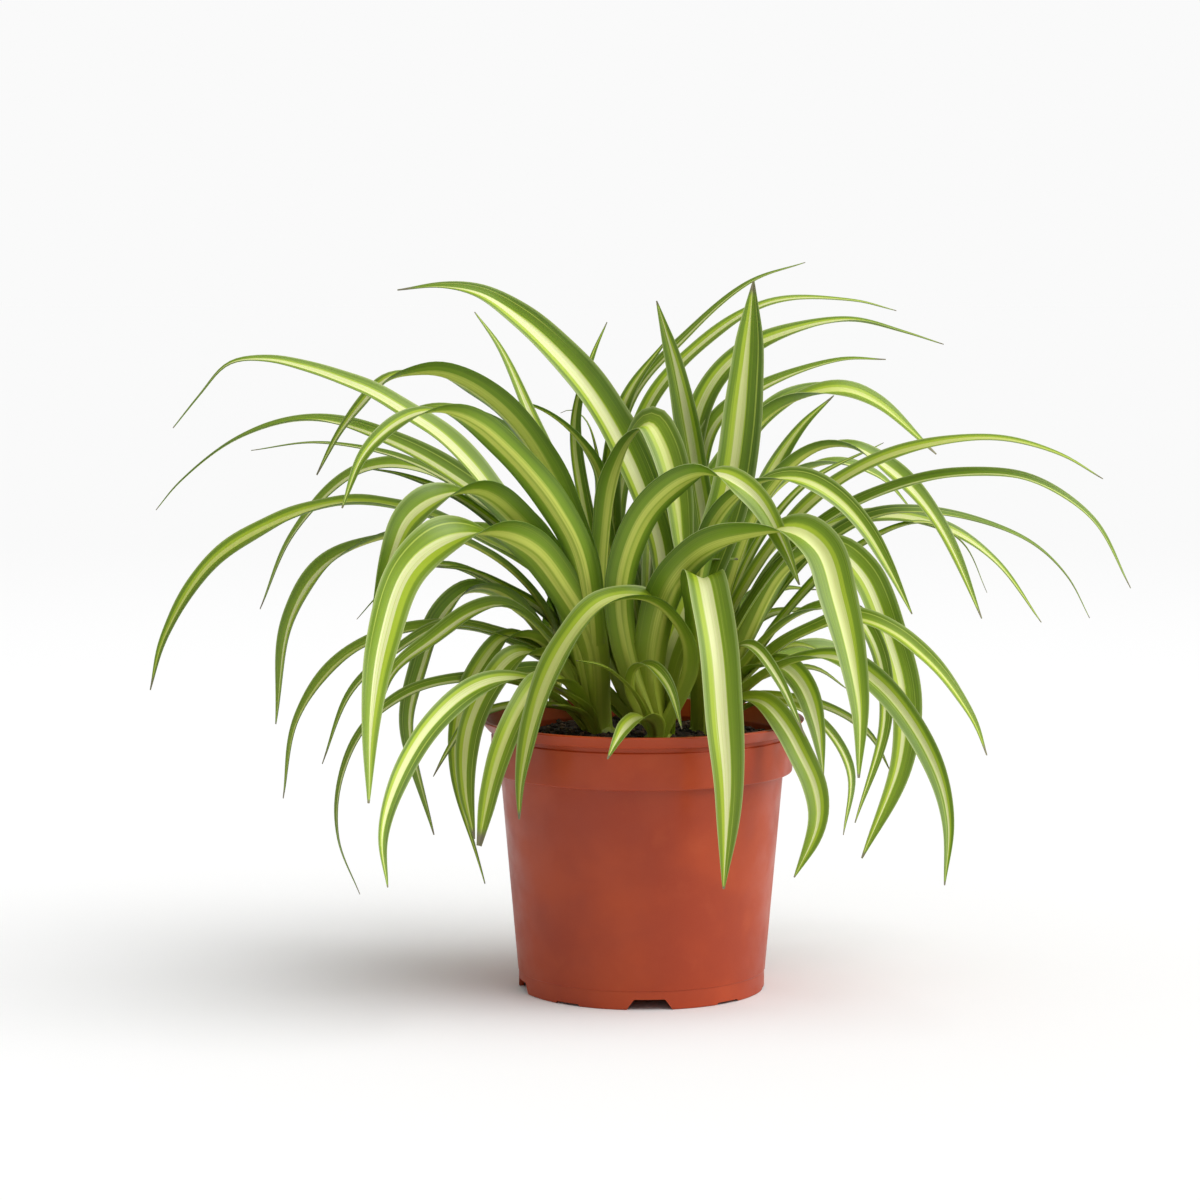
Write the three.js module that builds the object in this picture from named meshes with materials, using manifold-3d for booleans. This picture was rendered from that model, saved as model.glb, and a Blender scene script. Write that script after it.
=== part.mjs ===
// Spider plant in a plastic nursery pot. Millimetres, +Z up.
// The origin is on the pot's axis, in the plane that the pot's foot stands on.
// -Y is the front. The plant is four rosettes that grow from one pot of soil.

import * as THREE from 'three';
import { mergeVertices } from 'three/addons/utils/BufferGeometryUtils.js';
import Module from 'manifold-3d';

const wasm = await Module();
wasm.setup();

// Pot: a 15 cm nursery pot, moulded in one piece
const POT_HEIGHT = 125.5;
const LIP_RADIUS = 75;
const LIP_HEIGHT = 5.2;
const LIP_FLARE = 4;
const LIP_FLAT = 2.6;
const BAND_RADIUS = 69.6;
const BAND_TOP = 117.7;
const BAND_BOTTOM = 101.2;
const GROOVE_DEPTH = 0.8;
const WALL_TOP_RADIUS = 65.4;
const FOOT_RADIUS = 57;
const FOOT_STEP_HEIGHT = 8.3;
const FOOT_STEP = 0.35;
const WALL = 2.2;
const FLOOR_UNDERSIDE = 5.4;
const POT_SEGMENTS = 45;

// Drainage: notches in the foot ring, some deep and some shallow, and round holes in the floor
const NOTCHES = 9;
const NOTCH_TURN = 273;
const DEEP_NOTCHES = [0, 3, 5, 7];
const DEEP_NOTCH = { bottomWidth: 21, topWidth: 14, height: 4.8 };
const SHALLOW_NOTCH = { bottomWidth: 14, topWidth: 12, height: 1.1 };
const DRAINS = 6;
const DRAIN_RADIUS = 4.5;
const DRAIN_CIRCLE = 34;
const DRAIN_SIDES = 12;

// Soil
const CLEARANCE = 0.3;
const SOIL_EDGE_HEIGHT = 115;
const SOIL_CENTRE_HEIGHT = 119;
const SOIL_WAVE = 0.9;
const SOIL_RINGS = 7;
const SOIL_SEGMENTS = 30;

// Crowns: the short stem that each rosette's leaves grow from, in a hole in the soil
const CROWN_RADIUS = 9;
const CROWN_BOTTOM = 90;
const CROWN_TOP = 122;
const CROWN_SIDES = 12;
const CROWNS = {
  left: [-18, 4],
  middle: [8, -15],
  right: [28, 6],
  back: [3, 36],
};

// Leaf blades: folded along the middle, twisted where they bend over, each with its own ending
const LEAF_START_HEIGHT = 119;
const LEAF_START_OUT = 3;
const KEEL_THICKNESS = 1.4;
const FOLD = 0.3;
const STEP_LENGTH = 30;
const FEWEST_STEPS = 4;
const TWIST_REACH = 0.12;
const PROFILE_PLACES = [0, 0.2, 0.48, 0.72, 0.88, 1];
const POINTED = [0.5, 0.82, 1, 0.82, 0.42, 0.05];
const BROAD = [0.5, 0.82, 1, 0.93, 0.58, 0.05];
const SPEAR = [0.5, 0.8, 1, 0.97, 0.7, 0.05];
const THREAD = [0.5, 0.82, 1, 0.6, 0.18, 0.04];
const BLUNT = [0.55, 0.85, 1, 0.92, 0.66, 0.2];

// Colours
const TERRACOTTA = 0xa84a2c;
const SOIL_BROWN = 0x241a13;
const LEAF_GREEN = 0x6a9a1e;

const radians = THREE.MathUtils.degToRad;

// A repeatable stream of numbers from 0 to 1
function numberStream(seed) {
  let state = seed;
  return () => {
    state = (state * 1664525 + 1013904223) % 4294967296;
    return state / 4294967296;
  };
}

// Closed solids

function solidFrom(geometry) {
  const bare = geometry.index ? geometry.toNonIndexed() : geometry.clone();
  for (const name of Object.keys(bare.attributes)) {
    if (name !== 'position') bare.deleteAttribute(name);
  }
  const merged = mergeVertices(bare, 1e-4);
  const mesh = new wasm.Mesh({
    numProp: 3,
    vertProperties: new Float32Array(merged.attributes.position.array),
    triVerts: new Uint32Array(merged.index.array),
  });
  return new wasm.Manifold(mesh);
}

function geometryFrom(solid) {
  const mesh = solid.getMesh();
  const geometry = new THREE.BufferGeometry();
  geometry.setAttribute('position', new THREE.BufferAttribute(mesh.vertProperties, 3));
  geometry.setIndex(new THREE.BufferAttribute(mesh.triVerts, 1));
  geometry.computeVertexNormals();
  return geometry;
}

// A solid of revolution from a profile of [radius, height], turned so that its axis is Z
function turned(profile, segments) {
  const points = profile.map(([radius, height]) => new THREE.Vector2(radius, height));
  const lathe = new THREE.LatheGeometry(points, segments);
  lathe.rotateX(Math.PI / 2);
  return solidFrom(lathe);
}

function upright(radius, bottom, top, sides, x, y) {
  const cylinder = new THREE.CylinderGeometry(radius, radius, top - bottom, sides);
  cylinder.rotateX(Math.PI / 2);
  cylinder.translate(x, y, (top + bottom) / 2);
  return solidFrom(cylinder);
}

// Pot

const INNER_WALL_TOP = WALL_TOP_RADIUS - WALL;
const INNER_BAND = BAND_RADIUS - WALL;
const INNER_FLOOR_RADIUS = FOOT_RADIUS + FOOT_STEP - WALL;
const INNER_FLOOR_ROUND = 3;
const FLOOR_TOP = FLOOR_UNDERSIDE + WALL;
const INNER_STEP_TOP = BAND_BOTTOM + 3;
const INNER_STEP_BOTTOM = BAND_BOTTOM - 1.5;
const EDGE_ROUND = 0.4;

// From the middle of the floor's underside, out and up the outside, then down the inside
function potProfile() {
  const lipBottom = POT_HEIGHT - LIP_HEIGHT;
  const groove = BAND_RADIUS - GROOVE_DEPTH;
  return [
    [0, FLOOR_UNDERSIDE],
    [FOOT_RADIUS - WALL, FLOOR_UNDERSIDE],
    [FOOT_RADIUS - WALL, 0],
    [FOOT_RADIUS, 0],
    [FOOT_RADIUS, FOOT_STEP_HEIGHT],
    [FOOT_RADIUS + FOOT_STEP, FOOT_STEP_HEIGHT + EDGE_ROUND],
    [WALL_TOP_RADIUS, BAND_BOTTOM - EDGE_ROUND],
    [BAND_RADIUS - EDGE_ROUND, BAND_BOTTOM],
    [BAND_RADIUS, BAND_BOTTOM + EDGE_ROUND],
    [BAND_RADIUS, BAND_TOP],
    [groove, BAND_TOP + EDGE_ROUND],
    [groove, lipBottom - EDGE_ROUND],
    [LIP_RADIUS - LIP_FLARE, lipBottom],
    [LIP_RADIUS, POT_HEIGHT - EDGE_ROUND],
    [LIP_RADIUS - EDGE_ROUND, POT_HEIGHT],
    [LIP_RADIUS - LIP_FLAT, POT_HEIGHT],
    [INNER_BAND, BAND_TOP],
    [INNER_BAND, INNER_STEP_TOP],
    [INNER_WALL_TOP, INNER_STEP_BOTTOM],
    [INNER_FLOOR_RADIUS, FLOOR_TOP + INNER_FLOOR_ROUND],
    [INNER_FLOOR_RADIUS - INNER_FLOOR_ROUND, FLOOR_TOP],
    [0, FLOOR_TOP],
  ];
}

// One notch in the foot ring: wide at the foot, narrower at its top, cut along a radius
function notchCutter(turn, { bottomWidth, topWidth, height }) {
  const shape = new THREE.Shape();
  shape.moveTo(-bottomWidth / 2, -1);
  shape.lineTo(bottomWidth / 2, -1);
  shape.lineTo(bottomWidth / 2, 0);
  shape.lineTo(topWidth / 2, height);
  shape.lineTo(-topWidth / 2, height);
  shape.lineTo(-bottomWidth / 2, 0);
  const depth = 6 * WALL;
  const cutter = new THREE.ExtrudeGeometry(shape, { depth, bevelEnabled: false });
  cutter.translate(0, 0, FOOT_RADIUS - depth / 2);
  cutter.rotateX(Math.PI / 2);
  cutter.rotateZ(radians(turn + 90));
  return solidFrom(cutter);
}

function makePot() {
  let pot = turned(potProfile(), POT_SEGMENTS);
  for (let i = 0; i < NOTCHES; i += 1) {
    const notch = DEEP_NOTCHES.includes(i) ? DEEP_NOTCH : SHALLOW_NOTCH;
    pot = pot.subtract(notchCutter(NOTCH_TURN + (i * 360) / NOTCHES, notch));
  }
  for (let i = 0; i < DRAINS; i += 1) {
    const angle = radians((i * 360) / DRAINS);
    const x = DRAIN_CIRCLE * Math.cos(angle);
    const y = DRAIN_CIRCLE * Math.sin(angle);
    pot = pot.subtract(upright(DRAIN_RADIUS, 0, 2 * FLOOR_TOP, DRAIN_SIDES, x, y));
  }
  return pot;
}

// Soil

// The soil's surface is a low mound with small waves that die out at the pot's wall
function soilHeight(x, y) {
  const fromAxis = Math.hypot(x, y) / INNER_BAND;
  const mound = (SOIL_CENTRE_HEIGHT - SOIL_EDGE_HEIGHT) * (1 - fromAxis ** 2);
  const waves = SOIL_WAVE * Math.sin(x / 7.3) * Math.cos(y / 6.1) * (1 - fromAxis ** 4);
  return SOIL_EDGE_HEIGHT + mound + waves;
}

// The soil follows the inside of the pot a little way off, up to its own surface
function soilBody() {
  const gap = 2 * CLEARANCE;
  const edgeRadius = INNER_BAND - gap;
  const profile = [
    [0, FLOOR_TOP + CLEARANCE],
    [INNER_FLOOR_RADIUS - INNER_FLOOR_ROUND - CLEARANCE, FLOOR_TOP + CLEARANCE],
    [INNER_FLOOR_RADIUS - gap, FLOOR_TOP + INNER_FLOOR_ROUND],
    [INNER_WALL_TOP - gap, INNER_STEP_BOTTOM],
    [edgeRadius, INNER_STEP_TOP + gap],
  ];
  for (let ring = SOIL_RINGS; ring >= 0; ring -= 1) {
    profile.push([(edgeRadius * ring) / SOIL_RINGS, SOIL_EDGE_HEIGHT]);
  }
  const points = profile.map(([radius, height]) => new THREE.Vector2(radius, height));
  const lathe = new THREE.LatheGeometry(points, SOIL_SEGMENTS);
  lathe.rotateX(Math.PI / 2);
  const place = lathe.attributes.position;
  for (let i = 0; i < place.count; i += 1) {
    const onSurface = place.getZ(i) > SOIL_EDGE_HEIGHT - CLEARANCE;
    if (onSurface) place.setZ(i, soilHeight(place.getX(i), place.getY(i)));
  }
  return solidFrom(lathe);
}

function makeSoil() {
  let soil = soilBody();
  for (const [x, y] of Object.values(CROWNS)) {
    const bottom = CROWN_BOTTOM - CLEARANCE;
    soil = soil.subtract(upright(CROWN_RADIUS + CLEARANCE, bottom, POT_HEIGHT, CROWN_SIDES, x, y));
  }
  return soil;
}

// Leaves

// One leaf: how wide it is; how far its upper face is tipped to the front (in degrees) before its
// twist and after it, with the share of its length where the twist is; and the points that its
// midrib passes through on its way out
function leaf(width, [faceBefore, faceAfter, twist], midrib, ending = POINTED) {
  return { width, faceBefore, faceAfter, twist, midrib, ending };
}

const LEFT_LEAVES = [
  leaf(16, [40, 10, 0.85], [[-38, -3, 192], [-53, -6, 211], [-64, -8, 225], [-77, -10, 242], [-92, -12, 257],
      [-107, -14, 267], [-122, -16, 276], [-134, -17, 281], [-151, -18, 287], [-170, -20, 291],
      [-187, -22, 289], [-200, -23, 275], [-212, -25, 260]], THREAD),
  leaf(19, [-42, 35, 0.76], [[-27, 5, 198], [-49, 6, 250], [-70, 7, 273], [-90, 7, 284], [-103, 7, 285],
      [-117, 7, 282], [-128, 7, 271], [-139, 7, 257], [-150, 8, 237]]),
  leaf(15, [-45, 38, 0.75], [[-28, -28, 201], [-40, -38, 226], [-52, -45, 242], [-63, -52, 254],
      [-73, -57, 263], [-84, -62, 269], [-94, -66, 270], [-107, -71, 265], [-122, -80, 251],
      [-131, -90, 228]]),
  leaf(14, [38, 15, 0.65], [[-45, 9, 206], [-77, 11, 231], [-113, 13, 252], [-153, 15, 263], [-187, 17, 254],
      [-215, 19, 233], [-226, 20, 220]], THREAD),
  leaf(10, [26, 18, 0.6], [[-45, 15, 197], [-79, 21, 227], [-112, 26, 244], [-152, 31, 251], [-183, 35, 247]],
      THREAD),
  leaf(9, [25, 22, 0.6], [[-45, 24, 187], [-80, 36, 221], [-113, 45, 235], [-131, 50, 238]]),
  leaf(13, [14, 42, 0.64], [[-47, 25, 196], [-76, 35, 224], [-99, 41, 237], [-121, 46, 240], [-139, 50, 234],
      [-166, 59, 206], [-183, 70, 169]]),
  leaf(12, [14, 50, 0.68], [[-38, 3, 182], [-79, 2, 211], [-111, 2, 223], [-139, 2, 225], [-168, 1, 216],
      [-199, 1, 196], [-220, 0, 163], [-227, 0, 138]], BROAD),
  leaf(12, [-12, 60, 0.64], [[-47, 13, 179], [-75, 18, 203], [-101, 22, 210], [-127, 25, 206],
      [-150, 29, 193], [-166, 33, 167], [-173, 40, 117]], BROAD),
  leaf(18, [-33, 52, 0.69], [[-38, -17, 191], [-58, -28, 220], [-75, -35, 233], [-91, -40, 231],
      [-105, -46, 221], [-113, -53, 202], [-120, -60, 180]], BROAD),
  leaf(20, [-37, 62, 0.48], [[-24, -14, 163], [-37, -26, 189], [-51, -36, 207], [-71, -45, 216],
      [-89, -54, 213], [-105, -64, 199], [-115, -78, 169], [-119, -94, 136], [-119, -110, 102]]),
  leaf(9, [15, 25, 0.7], [[-52, 22, 168], [-78, 31, 189], [-99, 38, 193], [-121, 44, 181], [-135, 50, 166]],
      THREAD),
  leaf(9, [25, 25, 0.5], [[-38, 13, 165], [-66, 19, 185], [-82, 22, 192], [-97, 25, 193]]),
  leaf(13, [-38, 56, 0.42], [[-45, 6, 161], [-63, 8, 182], [-78, 9, 186], [-93, 10, 173], [-103, 11, 148],
      [-109, 12, 121], [-97, 15, 68]]),
  leaf(11, [18, 34, 0.6], [[-31, 5, 142], [-49, 5, 154], [-75, 6, 166], [-107, 7, 166], [-138, 8, 153],
      [-160, 9, 124], [-167, 10, 86]]),
  leaf(11, [18, 38, 0.56], [[-38, -5, 157], [-61, -11, 179], [-76, -14, 177], [-97, -20, 163],
      [-114, -25, 149], [-121, -30, 126]]),
  leaf(8, [20, 30, 0.6], [[-42, 1, 154], [-65, -1, 165], [-91, -3, 169], [-113, -5, 157], [-134, -7, 138],
      [-147, -10, 105]]),
  leaf(9, [25, 15, 0.5], [[-38, 1, 133], [-61, -3, 143], [-82, -6, 144], [-105, -9, 139], [-126, -13, 124],
      [-138, -17, 99], [-139, -21, 72], [-129, -25, 47]], THREAD),
  leaf(11, [18, 50, 0.38], [[-31, -10, 135], [-47, -24, 145], [-61, -35, 148], [-77, -50, 144],
      [-95, -69, 129], [-108, -91, 107], [-113, -109, 87], [-110, -125, 68]]),
  leaf(11, [-30, 48, 0.36], [[-36, 0, 149], [-49, -3, 163], [-62, -4, 164], [-74, -7, 150], [-83, -10, 130],
      [-85, -13, 101], [-72, -20, 51]], THREAD),
  leaf(12, [-32, 52, 0.38], [[-33, -4, 143], [-44, -10, 156], [-56, -14, 157], [-68, -20, 145],
      [-78, -27, 124], [-80, -34, 99], [-76, -40, 75]], BROAD),
  leaf(7, [14, 20, 0.5], [[-28, 0, 127], [-45, -6, 132], [-62, -12, 132], [-79, -19, 126], [-88, -25, 114],
      [-95, -30, 102]]),
  leaf(12, [15, 22, 0.4], [[-31, -14, 140], [-38, -26, 147], [-46, -38, 147], [-53, -50, 139],
      [-59, -58, 128], [-64, -62, 115], [-68, -64, 101], [-73, -65, 76]], BLUNT),
  leaf(9, [52, 52, 0.5], [[-25, 6, 198], [-35, 6, 227], [-52, 7, 266], [-65, 8, 295], [-77, 8, 312]]),
  leaf(6, [10, 10, 0.5], [[-24, -8, 129], [-30, -17, 136], [-40, -30, 143]]),
  leaf(6, [10, 10, 0.5], [[-26, -9, 127], [-33, -24, 133], [-41, -40, 136]]),
  leaf(17, [-6, 58, 0.6], [[-19, 9, 160], [-18, 10, 205], [-13, 9, 238], [-5, 6, 257], [3, 2, 263],
      [10, -3, 253], [16, -8, 232], [19, -13, 204], [22, -16, 178]], BROAD),
];

const MIDDLE_LEAVES = [
  leaf(5, [20, 20, 0.5], [[-1, -30, 136], [-9, -36, 147], [-18, -42, 154], [-30, -48, 157]]),
  leaf(17, [28, 0, 0.42], [[21, -22, 150], [18, -30, 170], [3, -39, 185], [-16, -48, 185], [-32, -58, 170],
      [-46, -66, 142], [-54, -70, 108], [-55, -72, 89]], BROAD),
  leaf(13, [-32, 5, 0.62], [[0, -12, 162], [6, -9, 186], [20, -6, 198], [44, -3, 199]], BLUNT),
  leaf(15, [-42, 52, 0.71], [[-6, -24, 154], [-10, -31, 191], [3, -39, 225], [28, -46, 242], [49, -52, 231],
      [62, -57, 209], [69, -60, 192]], BROAD),
  leaf(19, [60, 60, 0.5], [[11, -13, 150], [26, -8, 187], [41, -4, 230], [48, -1, 285], [51, 3, 326]], SPEAR),
  leaf(11, [0, 0, 0.5], [[5, -38, 128], [-1, -56, 133], [-7, -71, 131], [-12, -82, 125], [-16, -87, 118]]),
  leaf(8, [40, 0, 0.52], [[-5, -24, 141], [-3, -36, 153], [4, -48, 155], [12, -58, 146], [17, -62, 128]]),
  leaf(21, [-22, 30, 0.5], [[4, -20, 145], [6, -26, 169], [13, -35, 191], [27, -46, 207], [46, -54, 215],
      [65, -61, 218], [78, -66, 209], [85, -77, 187], [90, -89, 164], [93, -100, 141], [92, -110, 113]]),
];

const RIGHT_LEAVES = [
  leaf(18, [0, 0, 0.5], [[28, -13, 150], [27, -31, 176], [25, -46, 193], [27, -57, 197], [30, -68, 183],
      [33, -77, 163], [35, -83, 135], [37, -86, 104], [35, -84, 60]], BROAD),
  leaf(13, [57, 57, 0.5], [[30, 13, 197], [24, 17, 243], [16, 21, 285], [7, 25, 317]], BROAD),
  leaf(15, [-42, 50, 0.71], [[34, 17, 197], [48, 25, 251], [67, 29, 270], [92, 32, 276], [110, 35, 270],
      [139, 40, 245]], BROAD),
  leaf(11, [50, 50, 0.5], [[44, 29, 187], [60, 46, 232], [76, 55, 257], [92, 60, 272]]),
  leaf(12, [-42, 52, 0.6], [[35, 7, 165], [54, 9, 222], [72, 9, 244], [85, 10, 251], [97, 10, 251],
      [111, 10, 243], [124, 10, 232], [136, 11, 217], [145, 11, 201], [158, 12, 170]], BROAD),
  leaf(10, [38, 20, 0.7], [[36, 1, 161], [69, -7, 217], [101, -11, 242], [134, -16, 253], [162, -19, 255],
      [189, -22, 248], [208, -25, 237]]),
  leaf(9, [32, 28, 0.6], [[36, -2, 152], [72, -8, 208], [110, -13, 231], [143, -17, 239], [175, -19, 237],
      [204, -20, 219], [222, -20, 187]]),
  leaf(10, [28, 20, 0.6], [[55, 10, 170], [83, 14, 204], [111, 16, 219], [145, 19, 218], [180, 21, 206],
      [199, 23, 189], [210, 25, 169]], THREAD),
  leaf(10, [30, 42, 0.55], [[48, 15, 169], [74, 22, 205], [112, 29, 217], [145, 34, 210], [168, 39, 194],
      [190, 45, 165]]),
  leaf(7, [25, 15, 0.6], [[65, 16, 169], [97, 23, 200], [131, 28, 214], [151, 31, 204], [163, 35, 180]],
      THREAD),
  leaf(5, [30, 30, 0.5], [[46, 25, 187], [75, 38, 229], [115, 50, 250]]),
  leaf(11, [-40, 45, 0.57], [[27, -12, 148], [24, -24, 180], [28, -30, 206], [35, -36, 222], [46, -39, 234],
      [58, -40, 239], [73, -41, 238], [87, -42, 230], [99, -46, 217], [109, -52, 200], [119, -60, 179]],
      BROAD),
  leaf(16, [-40, 60, 0.4], [[48, 2, 161], [67, -1, 196], [86, -3, 206], [102, -4, 193], [114, -7, 164],
      [121, -9, 137], [119, -11, 105], [101, -15, 62]], BROAD),
  leaf(9, [0, 48, 0.42], [[48, 0, 152], [75, -6, 176], [96, -9, 176], [108, -14, 158], [111, -18, 126],
      [97, -25, 80]]),
  leaf(11, [30, 36, 0.5], [[39, 2, 133], [51, -2, 148], [64, -8, 160], [78, -13, 168], [93, -18, 174],
      [103, -21, 173], [116, -24, 167], [126, -26, 159], [136, -28, 149], [144, -30, 138], [151, -31, 126],
      [156, -32, 112]]),
  leaf(12, [14, 42, 0.42], [[46, -10, 139], [67, -26, 155], [87, -40, 158], [105, -54, 147], [119, -69, 130],
      [129, -86, 109], [132, -99, 90], [129, -114, 67]]),
  leaf(12, [18, 25, 0.4], [[36, -6, 129], [45, -22, 137], [55, -38, 137], [64, -49, 127], [70, -55, 116],
      [76, -58, 103], [78, -61, 91], [76, -64, 81], [67, -66, 62]], BROAD),
  leaf(7, [12, 20, 0.5], [[38, -10, 155], [49, -28, 162], [61, -45, 148], [72, -58, 124]]),
  leaf(14, [18, 25, 0.5], [[48, -2, 148], [62, -12, 152], [72, -26, 144], [78, -38, 127], [81, -46, 105]]),
  leaf(6, [16, 28, 0.5], [[50, -3, 132], [70, -11, 132], [85, -17, 122], [95, -24, 103], [91, -35, 76]]),
  leaf(8, [20, 22, 0.5], [[48, 2, 134], [70, -2, 134], [89, -5, 129], [105, -9, 118], [114, -12, 102]]),
  leaf(7, [15, 15, 0.5], [[46, 7, 137], [64, 8, 146], [81, 9, 147], [96, 10, 137]]),
  leaf(8, [20, 20, 0.5], [[48, 14, 146], [73, 20, 157], [93, 25, 149]]),
  leaf(9, [20, 20, 0.5], [[39, 15, 150], [58, 23, 170], [86, 30, 173]]),
  leaf(9, [20, 20, 0.5], [[39, 20, 154], [63, 33, 181], [84, 40, 181]]),
];

const BACK_LEAVES = [
  leaf(8, [30, 25, 0.6], [[-17, 43, 204], [-5, 49, 269], [22, 53, 301], [52, 57, 326], [78, 60, 335]]),
  leaf(9, [34, 25, 0.7], [[-11, 52, 208], [4, 64, 267], [28, 71, 295], [62, 78, 316], [103, 86, 317],
      [124, 90, 312]]),
  leaf(11, [30, 30, 0.5], [[-14, 42, 214], [-8, 45, 268], [13, 47, 300]]),
  leaf(8, [40, 40, 0.5], [[-25, 39, 214], [-31, 40, 261], [-23, 41, 291], [-16, 42, 307]]),
  leaf(20, [60, 20, 0.88], [[12, 37, 192], [3, 36, 226], [-9, 36, 253], [-24, 36, 277], [-40, 36, 295],
      [-57, 36, 310], [-75, 36, 321], [-94, 36, 324], [-114, 36, 322]]),
  leaf(13, [45, 14, 0.72], [[20, 51, 213], [30, 60, 269], [47, 65, 291], [76, 69, 304], [101, 73, 308],
      [127, 77, 302], [146, 80, 296]]),
  leaf(11, [40, 25, 0.7], [[24, 47, 204], [34, 54, 258], [57, 57, 276], [95, 62, 289], [117, 65, 289]]),
  leaf(15, [-28, 40, 0.5], [[-26, 52, 165], [-48, 63, 194], [-72, 71, 207], [-95, 77, 203], [-114, 85, 184],
      [-127, 96, 146], [-133, 105, 113]]),
  leaf(14, [-30, 35, 0.72], [[-31, 62, 179], [-55, 76, 207], [-78, 87, 227], [-96, 94, 226], [-113, 101, 216],
      [-124, 110, 192]]),
  leaf(15, [-30, 35, 0.8], [[-27, 67, 193], [-42, 83, 230], [-63, 95, 254], [-90, 106, 265], [-112, 113, 262],
      [-131, 122, 247]]),
  leaf(12, [-30, 35, 0.6], [[-29, 52, 146], [-53, 64, 165], [-75, 74, 178], [-89, 79, 175], [-103, 89, 152],
      [-112, 100, 121]]),
  leaf(14, [30, 42, 0.6], [[-24, 53, 134], [-46, 66, 139], [-68, 78, 135], [-88, 90, 122], [-106, 103, 104],
      [-121, 118, 78]]),
  leaf(14, [-35, 45, 0.75], [[24, 61, 180], [51, 76, 211], [73, 88, 232], [93, 95, 239], [118, 104, 231],
      [136, 112, 212]]),
  leaf(15, [-35, 50, 0.6], [[24, 50, 156], [50, 62, 184], [70, 71, 204], [84, 76, 201], [96, 86, 172],
      [106, 98, 131]]),
  leaf(15, [-35, 50, 0.6], [[28, 54, 156], [63, 70, 181], [88, 82, 196], [108, 91, 190], [122, 102, 163],
      [128, 116, 124]]),
  leaf(13, [30, -25, 0.8], [[24, 70, 207], [46, 86, 245], [71, 98, 269], [96, 107, 276], [119, 116, 268],
      [137, 124, 252]]),
  leaf(14, [30, 38, 0.6], [[28, 48, 138], [65, 62, 146], [92, 72, 149], [117, 82, 133], [137, 93, 110],
      [150, 104, 81]]),
  leaf(10, [-40, -20, 0.7], [[-18, 30, 215], [-20, 24, 238], [-30, 22, 254], [-40, 22, 263], [-49, 22, 268],
      [-57, 22, 270], [-64, 22, 270]]),
  leaf(6, [20, 20, 0.5], [[-18, 45, 223], [-21, 46, 246], [-26, 48, 261], [-33, 49, 266], [-38, 50, 264]],
      THREAD),
];

// Leaves that arch away behind the crown, as many as on the sides, each a little different
const REAR_LEAVES = 16;
const REAR_BEARINGS = [48, 132];
const REAR_SEED = 12;

function rearLeaves([crownX, crownY]) {
  const next = numberStream(REAR_SEED);
  const between = (low, high) => low + (high - low) * next();
  const leaves = [];
  for (let i = 0; i < REAR_LEAVES; i += 1) {
    const share = (i + 0.5) / REAR_LEAVES;
    const bearing = radians(THREE.MathUtils.lerp(...REAR_BEARINGS, share) + between(-3, 3));
    const reach = between(62, 92);
    const crest = between(160, 232);
    const drop = between(25, 110);
    const stations = [
      [0.24, 0.6, 0],
      [0.52, 0.95, 0],
      [0.74, 1, 0],
      [0.92, 0.9, 0.35],
      [1, 0.9, 1],
    ];
    const midrib = stations.map(([out, up, fall]) => [
      crownX + out * reach * Math.cos(bearing),
      crownY + out * reach * Math.sin(bearing),
      LEAF_START_HEIGHT + up * (crest - LEAF_START_HEIGHT) - fall * drop,
    ]);
    leaves.push(leaf(between(9, 16), [0, between(-20, 20), 0.5], midrib));
  }
  return leaves;
}

function widthAt(share, ending) {
  let i = 0;
  while (i < PROFILE_PLACES.length - 2 && share > PROFILE_PLACES[i + 1]) i += 1;
  const along = (share - PROFILE_PLACES[i]) / (PROFILE_PLACES[i + 1] - PROFILE_PLACES[i]);
  return THREE.MathUtils.lerp(ending[i], ending[i + 1], along);
}

// The ring of four points round the midrib: one edge, the fold's top, the other edge, the keel
function blade({ width, faceBefore, faceAfter, twist, midrib, ending }, [crownX, crownY]) {
  const points = midrib.map(([x, y, z]) => new THREE.Vector3(x, y, z));
  const tip = points[points.length - 1];
  const out = new THREE.Vector3(tip.x - crownX, tip.y - crownY, 0).normalize();
  const start = new THREE.Vector3(crownX, crownY, LEAF_START_HEIGHT).addScaledVector(out, LEAF_START_OUT);
  const curve = new THREE.CatmullRomCurve3([start, ...points], false, 'centripetal');
  const steps = Math.max(FEWEST_STEPS, Math.round(curve.getLength() / STEP_LENGTH));
  const across = new THREE.Vector3(-out.y, out.x, 0);
  const toFront = across.y < 0 || (across.y === 0 && across.x > 0) ? 1 : -1;
  const vertices = [];
  for (let i = 0; i < steps; i += 1) {
    const share = i / steps;
    const centre = curve.getPointAt(share);
    const along = curve.getTangentAt(share);
    const side = across.clone().addScaledVector(along, -across.dot(along)).normalize();
    const twisted = THREE.MathUtils.smoothstep(share, twist - TWIST_REACH, twist + TWIST_REACH);
    const turn = radians(THREE.MathUtils.lerp(faceBefore, faceAfter, twisted)) * toFront;
    side.applyAxisAngle(along, -turn);
    const up = along.clone().cross(side);
    const half = (width * widthAt(share, ending)) / 2;
    const lift = half * FOLD;
    const place = (sideways, upward) =>
      centre.clone().addScaledVector(side, sideways).addScaledVector(up, upward).toArray();
    vertices.push(place(half, lift), place(0, KEEL_THICKNESS / 2 - lift));
    vertices.push(place(-half, lift), place(0, -KEEL_THICKNESS / 2 - lift));
  }
  vertices.push(curve.getPointAt(1).toArray());
  return bladeSolid(vertices, steps);
}

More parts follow.
